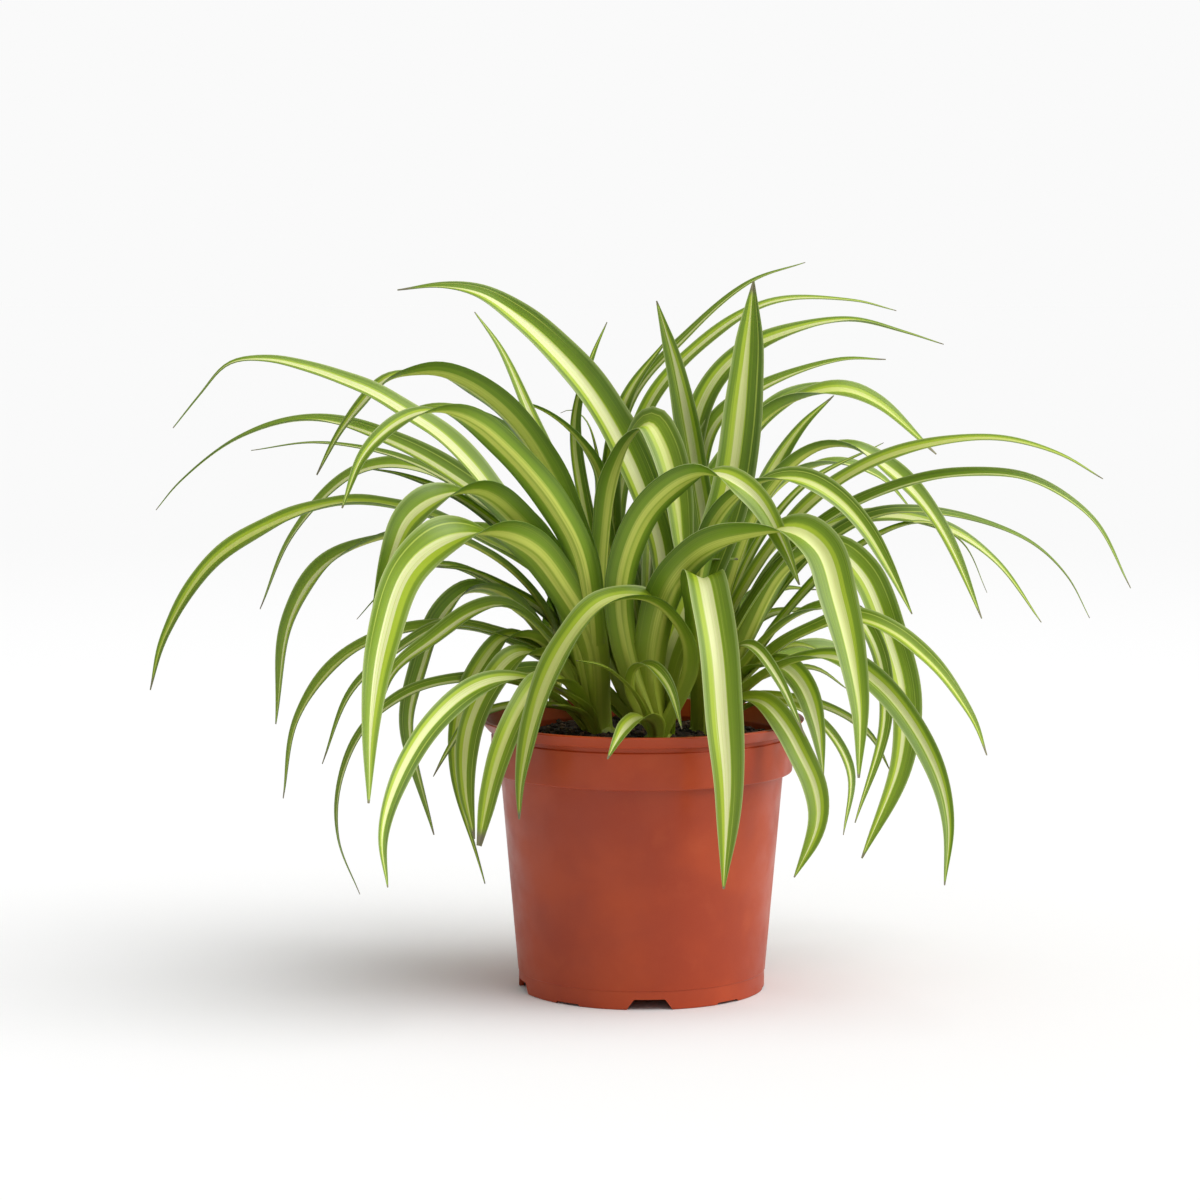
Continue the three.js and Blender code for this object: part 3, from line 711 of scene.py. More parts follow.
crumb_mesh.attributes.new("shade", "FLOAT", "POINT").data.foreach_set("value", np.concatenate(crumb_shades))
print("crumbs:", CRUMBS)

# %% [markdown]
# ## The soil's finish
#
# Wet peat is almost black. Drier crumbs on top are a warmer brown, and each has its own
# shade, which its points carry.

# %% Soil finish
PEAT_WET = screen_colour(30, 20, 14)
PEAT_DAMP = screen_colour(58, 41, 29)
PEAT_DRY = screen_colour(112, 84, 60)
PEAT_GRAIN_SCALE = 700
PEAT_PATCH_SCALE = 90
PEAT_DEPTH = 0.0008
CRUMB_GRAIN_SCALE = 1300
CRUMB_DEPTH = 0.0004

soil_finish = Finish("potting soil")
spot = soil_finish.spot()
peat_grain = soil_finish.cloud(spot, PEAT_GRAIN_SCALE, 6)
peat_patch = soil_finish.cloud(spot, PEAT_PATCH_SCALE, 3)
peat = soil_finish.mix(peat_grain.between(0.4, 0.7), PEAT_WET, PEAT_DAMP)
peat = soil_finish.mix(peat_patch.between(0.5, 0.75, 0, 0.4), peat, PEAT_DAMP)
peat_skin = soil_finish.bump(peat_grain, 0.8, PEAT_DEPTH)
peat_soil = soil_finish.done(Base_Color=peat, Roughness=0.92, Normal=peat_skin)
place_piece("soil_body", soil_mesh, [peat_soil], "potting_soil", "soil")

crumb_finish = Finish("soil crumbs")
crumb_grain = crumb_finish.cloud(crumb_finish.spot(), CRUMB_GRAIN_SCALE, 4)
shade = crumb_finish.measured("shade")
crumb_colour = crumb_finish.ramp(shade, [(0, PEAT_WET), (0.6, PEAT_DAMP), (1, PEAT_DRY)])
crumb_colour = crumb_finish.mix(crumb_grain.between(0.4, 0.7, 0, 0.6), crumb_colour, PEAT_WET)
crumb_skin = crumb_finish.bump(crumb_grain, 0.8, CRUMB_DEPTH)
crumb_brown = crumb_finish.done(Base_Color=crumb_colour, Roughness=0.9, Normal=crumb_skin)
place_piece("soil_crumbs", crumb_mesh, [crumb_brown], "potting_soil", "soil")

# %% [markdown]
# ## The leaves, one by one
#
# Ninety-five leaves grow from the four crowns, and the tables below list seventy-nine of them.
# Most turn over where they bend: their underside shows on the way up and their upper face on the way down.
# For each leaf a table says how wide it is in millimetres; how far its upper face is tipped towards the front
# (in degrees) before its twist and after it, with the share of its length where the twist is; and the points
# that its midrib passes through. They were read off the photograph, with a depth judged from how the leaves
# cover each other. A leaf ends in one of five ways, from a thread to a blunt tip.

# %% Leaf shapes
PROFILE_PLACES = [0, 0.2, 0.48, 0.72, 0.88, 1]
POINTED = [0.5, 0.82, 1, 0.82, 0.42, 0.05]
BROAD = [0.5, 0.82, 1, 0.93, 0.58, 0.05]
SPEAR = [0.5, 0.8, 1, 0.97, 0.7, 0.05]
THREAD = [0.5, 0.82, 1, 0.6, 0.18, 0.04]
BLUNT = [0.55, 0.85, 1, 0.92, 0.66, 0.2]


def leaf(width, faces, midrib, ending=POINTED):
    return width, faces, midrib, ending


print("a pointed leaf is", POINTED[0], "of its full width at its base")

# %% [markdown]
# ## Leaves of the left crown
#
# The upper ones arch far out to the left. The lower ones bend over early and hang past the rim.

# %% Left leaves
LEFT_LEAVES = [
    leaf(16, [40, 10, 0.85], [[-38, -3, 192], [-53, -6, 211], [-64, -8, 225], [-77, -10, 242],
        [-92, -12, 257], [-107, -14, 267], [-122, -16, 276], [-134, -17, 281], [-151, -18, 287],
        [-170, -20, 291], [-187, -22, 289], [-200, -23, 275], [-212, -25, 260]], THREAD),
    leaf(19, [-42, 35, 0.76], [[-27, 5, 198], [-49, 6, 250], [-70, 7, 273], [-90, 7, 284], [-103, 7, 285],
        [-117, 7, 282], [-128, 7, 271], [-139, 7, 257], [-150, 8, 237]]),
    leaf(15, [-45, 38, 0.75], [[-28, -28, 201], [-40, -38, 226], [-52, -45, 242], [-63, -52, 254],
        [-73, -57, 263], [-84, -62, 269], [-94, -66, 270], [-107, -71, 265], [-122, -80, 251],
        [-131, -90, 228]]),
    leaf(14, [38, 15, 0.65], [[-45, 9, 206], [-77, 11, 231], [-113, 13, 252], [-153, 15, 263],
        [-187, 17, 254], [-215, 19, 233], [-226, 20, 220]], THREAD),
    leaf(10, [26, 18, 0.6], [[-45, 15, 197], [-79, 21, 227], [-112, 26, 244], [-152, 31, 251],
        [-183, 35, 247]], THREAD),
    leaf(9, [25, 22, 0.6], [[-45, 24, 187], [-80, 36, 221], [-113, 45, 235], [-131, 50, 238]]),
    leaf(13, [14, 42, 0.64], [[-47, 25, 196], [-76, 35, 224], [-99, 41, 237], [-121, 46, 240],
        [-139, 50, 234], [-166, 59, 206], [-183, 70, 169]]),
    leaf(12, [14, 50, 0.68], [[-38, 3, 182], [-79, 2, 211], [-111, 2, 223], [-139, 2, 225], [-168, 1, 216],
        [-199, 1, 196], [-220, 0, 163], [-227, 0, 138]], BROAD),
    leaf(12, [-12, 60, 0.64], [[-47, 13, 179], [-75, 18, 203], [-101, 22, 210], [-127, 25, 206],
        [-150, 29, 193], [-166, 33, 167], [-173, 40, 117]], BROAD),
    leaf(18, [-33, 52, 0.69], [[-38, -17, 191], [-58, -28, 220], [-75, -35, 233], [-91, -40, 231],
        [-105, -46, 221], [-113, -53, 202], [-120, -60, 180]], BROAD),
    leaf(20, [-37, 62, 0.48], [[-24, -14, 163], [-37, -26, 189], [-51, -36, 207], [-71, -45, 216],
        [-89, -54, 213], [-105, -64, 199], [-115, -78, 169], [-119, -94, 136], [-119, -110, 102]]),
    leaf(9, [15, 25, 0.7], [[-52, 22, 168], [-78, 31, 189], [-99, 38, 193], [-121, 44, 181], [-135, 50, 166]],
        THREAD),
    leaf(9, [25, 25, 0.5], [[-38, 13, 165], [-66, 19, 185], [-82, 22, 192], [-97, 25, 193]]),
    leaf(13, [-38, 56, 0.42], [[-45, 6, 161], [-63, 8, 182], [-78, 9, 186], [-93, 10, 173], [-103, 11, 148],
        [-109, 12, 121], [-97, 15, 68]]),
    leaf(11, [18, 34, 0.6], [[-31, 5, 142], [-49, 5, 154], [-75, 6, 166], [-107, 7, 166], [-138, 8, 153],
        [-160, 9, 124], [-167, 10, 86]]),
    leaf(11, [18, 38, 0.56], [[-38, -5, 157], [-61, -11, 179], [-76, -14, 177], [-97, -20, 163],
        [-114, -25, 149], [-121, -30, 126]]),
    leaf(8, [20, 30, 0.6], [[-42, 1, 154], [-65, -1, 165], [-91, -3, 169], [-113, -5, 157], [-134, -7, 138],
        [-147, -10, 105]]),
    leaf(9, [25, 15, 0.5], [[-38, 1, 133], [-61, -3, 143], [-82, -6, 144], [-105, -9, 139], [-126, -13, 124],
        [-138, -17, 99], [-139, -21, 72], [-129, -25, 47]], THREAD),
    leaf(11, [18, 50, 0.38], [[-31, -10, 135], [-47, -24, 145], [-61, -35, 148], [-77, -50, 144],
        [-95, -69, 129], [-108, -91, 107], [-113, -109, 87], [-110, -125, 68]]),
    leaf(11, [-30, 48, 0.36], [[-36, 0, 149], [-49, -3, 163], [-62, -4, 164], [-74, -7, 150], [-83, -10, 130],
        [-85, -13, 101], [-72, -20, 51]], THREAD),
    leaf(12, [-32, 52, 0.38], [[-33, -4, 143], [-44, -10, 156], [-56, -14, 157], [-68, -20, 145],
        [-78, -27, 124], [-80, -34, 99], [-76, -40, 75]], BROAD),
    leaf(7, [14, 20, 0.5], [[-28, 0, 127], [-45, -6, 132], [-62, -12, 132], [-79, -19, 126], [-88, -25, 114],
        [-95, -30, 102]]),
    leaf(12, [15, 22, 0.4], [[-31, -14, 140], [-38, -26, 147], [-46, -38, 147], [-53, -50, 139],
        [-59, -58, 128], [-64, -62, 115], [-68, -64, 101], [-73, -65, 76]], BLUNT),
    leaf(9, [52, 52, 0.5], [[-25, 6, 198], [-35, 6, 227], [-52, 7, 266], [-65, 8, 295], [-77, 8, 312]]),
    leaf(6, [10, 10, 0.5], [[-24, -8, 129], [-30, -17, 136], [-40, -30, 143]]),
    leaf(6, [10, 10, 0.5], [[-26, -9, 127], [-33, -24, 133], [-41, -40, 136]]),
    leaf(17, [-6, 58, 0.6], [[-19, 9, 160], [-18, 10, 205], [-13, 9, 238], [-5, 6, 257], [3, 2, 263],
        [10, -3, 253], [16, -8, 232], [19, -13, 204], [22, -16, 178]], BROAD),
]
print("left crown:", len(LEFT_LEAVES), "leaves")

# %% [markdown]
# ## Leaves of the front crown
#
# This crown is the nearest and the smallest. One leaf stands upright, and the broad ones curl
# over the rim in front.

# %% Front leaves
MIDDLE_LEAVES = [
    leaf(5, [20, 20, 0.5], [[-1, -30, 136], [-9, -36, 147], [-18, -42, 154], [-30, -48, 157]]),
    leaf(17, [28, 0, 0.42], [[21, -22, 150], [18, -30, 170], [3, -39, 185], [-16, -48, 185], [-32, -58, 170],
        [-46, -66, 142], [-54, -70, 108], [-55, -72, 89]], BROAD),
    leaf(13, [-32, 5, 0.62], [[0, -12, 162], [6, -9, 186], [20, -6, 198], [44, -3, 199]], BLUNT),
    leaf(15, [-42, 52, 0.71], [[-6, -24, 154], [-10, -31, 191], [3, -39, 225], [28, -46, 242], [49, -52, 231],
        [62, -57, 209], [69, -60, 192]], BROAD),
    leaf(19, [60, 60, 0.5], [[11, -13, 150], [26, -8, 187], [41, -4, 230], [48, -1, 285], [51, 3, 326]],
        SPEAR),
    leaf(11, [0, 0, 0.5], [[5, -38, 128], [-1, -56, 133], [-7, -71, 131], [-12, -82, 125], [-16, -87, 118]]),
    leaf(8, [40, 0, 0.52], [[-5, -24, 141], [-3, -36, 153], [4, -48, 155], [12, -58, 146], [17, -62, 128]]),
    leaf(21, [-22, 30, 0.5], [[4, -20, 145], [6, -26, 169], [13, -35, 191], [27, -46, 207], [46, -54, 215],
        [65, -61, 218], [78, -66, 209], [85, -77, 187], [90, -89, 164], [93, -100, 141], [92, -110, 113]]),
]
print("front crown:", len(MIDDLE_LEAVES), "leaves")

# %% [markdown]
# ## Leaves of the right crown
#
# Long slender leaves arch out to the right, and shorter ones bend down over the pot.

# %% Right leaves
RIGHT_LEAVES = [
    leaf(18, [0, 0, 0.5], [[28, -13, 150], [27, -31, 176], [25, -46, 193], [27, -57, 197], [30, -68, 183],
        [33, -77, 163], [35, -83, 135], [37, -86, 104], [35, -84, 60]], BROAD),
    leaf(13, [57, 57, 0.5], [[30, 13, 197], [24, 17, 243], [16, 21, 285], [7, 25, 317]], BROAD),
    leaf(15, [-42, 50, 0.71], [[34, 17, 197], [48, 25, 251], [67, 29, 270], [92, 32, 276], [110, 35, 270],
        [139, 40, 245]], BROAD),
    leaf(11, [50, 50, 0.5], [[44, 29, 187], [60, 46, 232], [76, 55, 257], [92, 60, 272]]),
    leaf(12, [-42, 52, 0.6], [[35, 7, 165], [54, 9, 222], [72, 9, 244], [85, 10, 251], [97, 10, 251],
        [111, 10, 243], [124, 10, 232], [136, 11, 217], [145, 11, 201], [158, 12, 170]], BROAD),
    leaf(10, [38, 20, 0.7], [[36, 1, 161], [69, -7, 217], [101, -11, 242], [134, -16, 253], [162, -19, 255],
        [189, -22, 248], [208, -25, 237]]),
    leaf(9, [32, 28, 0.6], [[36, -2, 152], [72, -8, 208], [110, -13, 231], [143, -17, 239], [175, -19, 237],
        [204, -20, 219], [222, -20, 187]]),
    leaf(10, [28, 20, 0.6], [[55, 10, 170], [83, 14, 204], [111, 16, 219], [145, 19, 218], [180, 21, 206],
        [199, 23, 189], [210, 25, 169]], THREAD),
    leaf(10, [30, 42, 0.55], [[48, 15, 169], [74, 22, 205], [112, 29, 217], [145, 34, 210], [168, 39, 194],
        [190, 45, 165]]),
    leaf(7, [25, 15, 0.6], [[65, 16, 169], [97, 23, 200], [131, 28, 214], [151, 31, 204], [163, 35, 180]],
        THREAD),
    leaf(5, [30, 30, 0.5], [[46, 25, 187], [75, 38, 229], [115, 50, 250]]),
    leaf(11, [-40, 45, 0.57], [[27, -12, 148], [24, -24, 180], [28, -30, 206], [35, -36, 222], [46, -39, 234],
        [58, -40, 239], [73, -41, 238], [87, -42, 230], [99, -46, 217], [109, -52, 200], [119, -60, 179]],
        BROAD),
    leaf(16, [-40, 60, 0.4], [[48, 2, 161], [67, -1, 196], [86, -3, 206], [102, -4, 193], [114, -7, 164],
        [121, -9, 137], [119, -11, 105], [101, -15, 62]], BROAD),
    leaf(9, [0, 48, 0.42], [[48, 0, 152], [75, -6, 176], [96, -9, 176], [108, -14, 158], [111, -18, 126],
        [97, -25, 80]]),
    leaf(11, [30, 36, 0.5], [[39, 2, 133], [51, -2, 148], [64, -8, 160], [78, -13, 168], [93, -18, 174],
        [103, -21, 173], [116, -24, 167], [126, -26, 159], [136, -28, 149], [144, -30, 138], [151, -31, 126],
        [156, -32, 112]]),
    leaf(12, [14, 42, 0.42], [[46, -10, 139], [67, -26, 155], [87, -40, 158], [105, -54, 147],
        [119, -69, 130], [129, -86, 109], [132, -99, 90], [129, -114, 67]]),
    leaf(12, [18, 25, 0.4], [[36, -6, 129], [45, -22, 137], [55, -38, 137], [64, -49, 127], [70, -55, 116],
        [76, -58, 103], [78, -61, 91], [76, -64, 81], [67, -66, 62]], BROAD),
    leaf(7, [12, 20, 0.5], [[38, -10, 155], [49, -28, 162], [61, -45, 148], [72, -58, 124]]),
    leaf(14, [18, 25, 0.5], [[48, -2, 148], [62, -12, 152], [72, -26, 144], [78, -38, 127], [81, -46, 105]]),
    leaf(6, [16, 28, 0.5], [[50, -3, 132], [70, -11, 132], [85, -17, 122], [95, -24, 103], [91, -35, 76]]),
    leaf(8, [20, 22, 0.5], [[48, 2, 134], [70, -2, 134], [89, -5, 129], [105, -9, 118], [114, -12, 102]]),
    leaf(7, [15, 15, 0.5], [[46, 7, 137], [64, 8, 146], [81, 9, 147], [96, 10, 137]]),
    leaf(8, [20, 20, 0.5], [[48, 14, 146], [73, 20, 157], [93, 25, 149]]),
    leaf(9, [20, 20, 0.5], [[39, 15, 150], [58, 23, 170], [86, 30, 173]]),
    leaf(9, [20, 20, 0.5], [[39, 20, 154], [63, 33, 181], [84, 40, 181]]),
]
print("right crown:", len(RIGHT_LEAVES), "leaves")

# %% [markdown]
# ## Leaves of the rear crown
#
# The tallest leaves rise behind all others. The next ones fill the plant on both sides, behind
# the leaves that can be seen.

# %% Rear crown's leaves
BACK_LEAVES = [
    leaf(8, [30, 25, 0.6], [[-17, 43, 204], [-5, 49, 269], [22, 53, 301], [52, 57, 326], [78, 60, 335]]),
    leaf(9, [34, 25, 0.7], [[-11, 52, 208], [4, 64, 267], [28, 71, 295], [62, 78, 316], [103, 86, 317],
        [124, 90, 312]]),
    leaf(11, [30, 30, 0.5], [[-14, 42, 214], [-8, 45, 268], [13, 47, 300]]),
    leaf(8, [40, 40, 0.5], [[-25, 39, 214], [-31, 40, 261], [-23, 41, 291], [-16, 42, 307]]),
    leaf(20, [60, 20, 0.88], [[12, 37, 192], [3, 36, 226], [-9, 36, 253], [-24, 36, 277], [-40, 36, 295],
        [-57, 36, 310], [-75, 36, 321], [-94, 36, 324], [-114, 36, 322]]),
    leaf(13, [45, 14, 0.72], [[20, 51, 213], [30, 60, 269], [47, 65, 291], [76, 69, 304], [101, 73, 308],
        [127, 77, 302], [146, 80, 296]]),
    leaf(11, [40, 25, 0.7], [[24, 47, 204], [34, 54, 258], [57, 57, 276], [95, 62, 289], [117, 65, 289]]),
    leaf(15, [-28, 40, 0.5], [[-26, 52, 165], [-48, 63, 194], [-72, 71, 207], [-95, 77, 203], [-114, 85, 184],
        [-127, 96, 146], [-133, 105, 113]]),
    leaf(14, [-30, 35, 0.72], [[-31, 62, 179], [-55, 76, 207], [-78, 87, 227], [-96, 94, 226],
        [-113, 101, 216], [-124, 110, 192]]),
    leaf(15, [-30, 35, 0.8], [[-27, 67, 193], [-42, 83, 230], [-63, 95, 254], [-90, 106, 265],
        [-112, 113, 262], [-131, 122, 247]]),
    leaf(12, [-30, 35, 0.6], [[-29, 52, 146], [-53, 64, 165], [-75, 74, 178], [-89, 79, 175], [-103, 89, 152],
        [-112, 100, 121]]),
    leaf(14, [30, 42, 0.6], [[-24, 53, 134], [-46, 66, 139], [-68, 78, 135], [-88, 90, 122], [-106, 103, 104],
        [-121, 118, 78]]),
    leaf(14, [-35, 45, 0.75], [[24, 61, 180], [51, 76, 211], [73, 88, 232], [93, 95, 239], [118, 104, 231],
        [136, 112, 212]]),
    leaf(15, [-35, 50, 0.6], [[24, 50, 156], [50, 62, 184], [70, 71, 204], [84, 76, 201], [96, 86, 172],
        [106, 98, 131]]),
    leaf(15, [-35, 50, 0.6], [[28, 54, 156], [63, 70, 181], [88, 82, 196], [108, 91, 190], [122, 102, 163],
        [128, 116, 124]]),
    leaf(13, [30, -25, 0.8], [[24, 70, 207], [46, 86, 245], [71, 98, 269], [96, 107, 276], [119, 116, 268],
        [137, 124, 252]]),
    leaf(14, [30, 38, 0.6], [[28, 48, 138], [65, 62, 146], [92, 72, 149], [117, 82, 133], [137, 93, 110],
        [150, 104, 81]]),
    leaf(10, [-40, -20, 0.7], [[-18, 30, 215], [-20, 24, 238], [-30, 22, 254], [-40, 22, 263], [-49, 22, 268],
        [-57, 22, 270], [-64, 22, 270]]),
    leaf(6, [20, 20, 0.5], [[-18, 45, 223], [-21, 46, 246], [-26, 48, 261], [-33, 49, 266], [-38, 50, 264]],
        THREAD),
]
print("rear crown:", len(BACK_LEAVES), "leaves in the table")

# %% [markdown]
# ## Leaves at the rear
#
# The far side can't be seen in the photograph, but a plant is as full there as in front. Sixteen
# arching leaves fan out from the rear crown. A seed draws how far each reaches, how high it
# rises, how deep its tip hangs and how wide it is, so they are the same in every run.

# %% Leaves at the rear
LEAF_START_HEIGHT = 115
REAR_LEAVES = 16
REAR_BEARINGS = (48, 132)
REAR_SEED = 12
REAR_STATIONS = [(0.24, 0.6, 0), (0.52, 0.95, 0), (0.74, 1, 0), (0.92, 0.9, 0.35), (1, 0.9, 1)]
REAR_SWING = 3
REAR_REACHES = (62, 92)
REAR_CRESTS = (160, 232)
REAR_DROPS = (25, 110)
REAR_WIDTHS = (9, 16)
REAR_TIP_TURN = 20
STREAM_FACTOR = 1664525
STREAM_SHIFT = 1013904223
STREAM_RANGE = 4294967296


def number_stream(seed):
    """The same repeatable stream of numbers from 0 to 1 that the CAD model draws from."""
    state = seed
    while True:
        state = (state * STREAM_FACTOR + STREAM_SHIFT) % STREAM_RANGE
        yield state / STREAM_RANGE


def rear_leaves(crown_x, crown_y):
    stream = number_stream(REAR_SEED)

    def draw(low, high):
        return low + (high - low) * next(stream)
    made = []
    for i in range(REAR_LEAVES):
        share = (i + 0.5) / REAR_LEAVES
        middle = REAR_BEARINGS[0] + (REAR_BEARINGS[1] - REAR_BEARINGS[0]) * share
        bearing = math.radians(middle + draw(-REAR_SWING, REAR_SWING))
        reach = draw(*REAR_REACHES)
        crest = draw(*REAR_CRESTS)
        drop = draw(*REAR_DROPS)
        midrib = []
        for out, up, fall in REAR_STATIONS:
            x = crown_x + out * reach * math.cos(bearing)
            y = crown_y + out * reach * math.sin(bearing)
            midrib.append([x, y, LEAF_START_HEIGHT + up * (crest - LEAF_START_HEIGHT) - fall * drop])
        width = draw(*REAR_WIDTHS)
        made.append(leaf(width, [0, draw(-REAR_TIP_TURN, REAR_TIP_TURN), 0.5], midrib))
    return made


rear = rear_leaves(*CROWNS["back"])
print("leaves at the rear:", len(rear))

# %% [markdown]
# ## A midrib
#
# Each midrib is a smooth curve through its points. It is sampled finely, smoothed a little so
# that no point shows as a kink, and then divided evenly along its length.

# %% Midrib curve
STATION_LENGTH = 3
SMOOTH_LENGTH = 5
SPAN_SAMPLES = 24


def curve_through(points):
    """A smooth curve through all the points, which makes no loops, as a fine polyline."""
    knots = [np.array(p, float) for p in points]
    knots = [2 * knots[0] - knots[1], *knots, 2 * knots[-1] - knots[-2]]
    fine = []
    for a, b, c, d in zip(knots, knots[1:], knots[2:], knots[3:]):
        at_b = np.linalg.norm(b - a) ** 0.5
        at_c = at_b + np.linalg.norm(c - b) ** 0.5
        at_d = at_c + np.linalg.norm(d - c) ** 0.5
        for t in np.linspace(at_b, at_c, SPAN_SAMPLES, endpoint=False):
            ab = ((at_b - t) * a + t * b) / at_b
            bc = ((at_c - t) * b + (t - at_b) * c) / (at_c - at_b)
            cd = ((at_d - t) * c + (t - at_c) * d) / (at_d - at_c)
            abc = ((at_c - t) * ab + t * bc) / at_c
            bcd = ((at_d - t) * bc + (t - at_b) * cd) / (at_d - at_b)
            fine.append(((at_c - t) * abc + (t - at_b) * bcd) / (at_c - at_b))
    fine.append(knots[-2])
    return np.array(fine)


def evenly(points, count):
    """The same polyline with this many points at even distances, and its length."""
    steps = np.linalg.norm(np.diff(points, axis=0), axis=1)
    run = np.concatenate([[0], np.cumsum(steps)])
    places = np.linspace(0, run[-1], count)
    return np.stack([np.interp(places, run, points[:, k]) for k in range(3)], axis=1), run[-1]


def softened(values, reach):
    """Values along a line, each averaged with its neighbours over this many places."""
    reach = min(reach, len(values) - 1)
    if reach < 1:
        return values
    before = 2 * values[0] - values[1:reach + 1][::-1]
    after = 2 * values[-1] - values[-reach - 1:-1][::-1]
    padded = np.concatenate([before, values, after])
    weights = np.exp(-0.5 * (np.arange(-reach, reach + 1) / (reach / 2)) ** 2)
    weights /= weights.sum()
    return sum(w * padded[k:k + len(values)] for k, w in enumerate(weights))


def unit(vectors):
    return vectors / np.linalg.norm(vectors, axis=-1, keepdims=True)


trial_length = evenly(curve_through([[0, 0, 0], [10, 0, 60], [60, 0, 90]]), 30)[1]
print("a trial midrib is", round(trial_length), "mm long")

# %% [markdown]
# ## How a leaf leaves its crown and turns
#
# A leaf starts at the edge of its crown, further out when it grows low. At each station along
# its midrib, three directions say where it heads, where its left edge is and where its upper
# face looks. The twist turns the last two gently from one angle to another.

# %% Directions along a leaf
START_OUT = 2.5
LOW_START_OUT = 4.5
TWIST_REACH = 0.12
FINE_POINTS = 400
FEWEST_STATIONS = 24


def laid_out(midrib, faces, crown):
    """The stations of one midrib from its crown, its length, and two directions at each."""
    tip = np.array(midrib[-1], float)
    root = np.array([crown[0], crown[1], LEAF_START_HEIGHT])
    outward = unit(np.array([tip[0] - crown[0], tip[1] - crown[1], 0.0]))
    first = unit(np.array(midrib[0], float) - root)
    start_out = START_OUT + LOW_START_OUT * (1 - first[2])
    fine, length = evenly(curve_through([root + outward * start_out, *midrib]), FINE_POINTS)
    fine = softened(fine, round(SMOOTH_LENGTH * FINE_POINTS / length))
    stations = max(FEWEST_STATIONS, round(length / STATION_LENGTH))
    centre, length = evenly(fine, stations)
    along = unit(np.gradient(centre, axis=0))
    across = np.array([-outward[1], outward[0], 0.0])
    to_front = 1 if across[1] < 0 or (across[1] == 0 and across[0] > 0) else -1
    side = unit(across - along * (along @ across)[:, None])
    before, after, twist = faces
    twisted = np.clip((np.linspace(0, 1, stations) - twist) / (2 * TWIST_REACH) + 0.5, 0, 1)
    twisted = twisted ** 2 * (3 - 2 * twisted)
    turn = -np.radians(before + (after - before) * twisted)[:, None] * to_front
    side = side * np.cos(turn) + np.cross(along, side) * np.sin(turn)
    return centre, length, side, np.cross(along, side)


first_leaf = LEFT_LEAVES[0]
first_length = laid_out(first_leaf[2], first_leaf[1], CROWNS["left"])[1]
print("the first leaf is", round(first_length), "mm long")

# %% [markdown]
# ## One blade
#
# A blade is a thin closed strip. At each station along the midrib it has a ring of points:
# across the upper face from edge to edge, and back across the lower face. The strip is folded
# deeply at the crown and opens further out, its edges wave a little, and it thins from a
# fleshy base to a fine edge. Each point carries where it is on the leaf, for the finish.

# %% Blade
CROSS_STEPS = 10
RING = 2 * CROSS_STEPS + 2
FOLD_PLACES = [0, 0.12, 0.35, 0.7, 1]
FOLD_SLOPES = [1.2, 0.9, 0.6, 0.5, 0.4]
CREASE_SOFTNESS = 0.12
PROFILE_SOFTNESS = 0.05
TIP_HALF_WIDTH = 0.12
EDGE_THICKNESS = 0.25
MIDDLE_THICKNESS = 0.55
BASE_THICKNESS = 1.2
BASE_REACH = 14
THICK_FOR_WIDTH = 0.7
EDGE_WAVE = 0.35
EDGE_WAVE_LENGTH = 46
EDGE_WAVE_PACES = (0.8, 1.3)
RIGHT_WAVE_PACE = 1.17
WAVY_HALF_WIDTH = 8


def blade(row, crown, chance):
    """Points of one leaf in millimetres, ring by ring, and what each point carries."""
    width, faces, midrib, ending = row
    centre, length, side, up = laid_out(midrib, faces, crown)
    stations = len(centre)
    share = np.linspace(0, 1, stations)
    run = share * length

    half = np.interp(share, PROFILE_PLACES, ending)
    half = width / 2 * softened(half, round(PROFILE_SOFTNESS * stations))
    half = np.maximum(half, TIP_HALF_WIDTH)
    thick = MIDDLE_THICKNESS + BASE_THICKNESS * np.exp(-run / BASE_REACH)
    thick = np.minimum(thick, THICK_FOR_WIDTH * half + TIP_HALF_WIDTH)[:, None]

    place = np.linspace(1, -1, CROSS_STEPS + 1)
    crease = np.sqrt(place ** 2 + CREASE_SOFTNESS ** 2) - CREASE_SOFTNESS
    slope = np.interp(share, FOLD_PLACES, FOLD_SLOPES)
    lift = half[:, None] * slope[:, None] * (crease - 0.5)
    waves = [chance.uniform(0, math.tau) for _ in range(2)]
    pace = math.tau / (EDGE_WAVE_LENGTH * chance.uniform(*EDGE_WAVE_PACES))
    left_edge = np.sin(run * pace + waves[0])[:, None] * np.clip(place, 0, 1) ** 2
    right_edge = np.sin(run * pace * RIGHT_WAVE_PACE + waves[1])[:, None] * np.clip(-place, 0, 1) ** 2
    lift = lift + EDGE_WAVE * (half / WAVY_HALF_WIDTH)[:, None] * (left_edge + right_edge)

    body = EDGE_THICKNESS + (thick - EDGE_THICKNESS) * (1 - place ** 2)
    body = np.minimum(body, thick)
    sideways = centre[:, None, :] + side[:, None, :] * (half[:, None] * place)[:, :, None]
    upper = sideways + up[:, None, :] * (lift + body / 2)[:, :, None]
    lower = sideways + up[:, None, :] * (lift - body / 2)[:, :, None]
    points = np.concatenate([upper, lower[:, ::-1]], axis=1)
    carried = {
        "across": np.tile(np.concatenate([place, place[::-1]]), stations),
        "along": np.repeat(share, RING),
        "run": np.repeat(run, RING) * MM,
        "to_tip": np.repeat(length - run, RING) * MM,
    }
    return points.reshape(-1, 3), stations, carried


print("ring of", RING, "points")

# %% [markdown]
# ## Faces and their map
#
# The faces of a blade follow from its rings: quads along the leaf, and a cap at each end. Each
# leaf also gets its own two strips of the map "OFBake", one for each face, so that a baked
# picture of the finish has room for every stripe.

# %% Faces and map
STRIP_GAP = 0.06
STRIP_ENDS = (0.01, 0.99)
MAP_NAME = "OFBake"
CAP_PLACE = 0.004
CAP_SIZE = 0.003


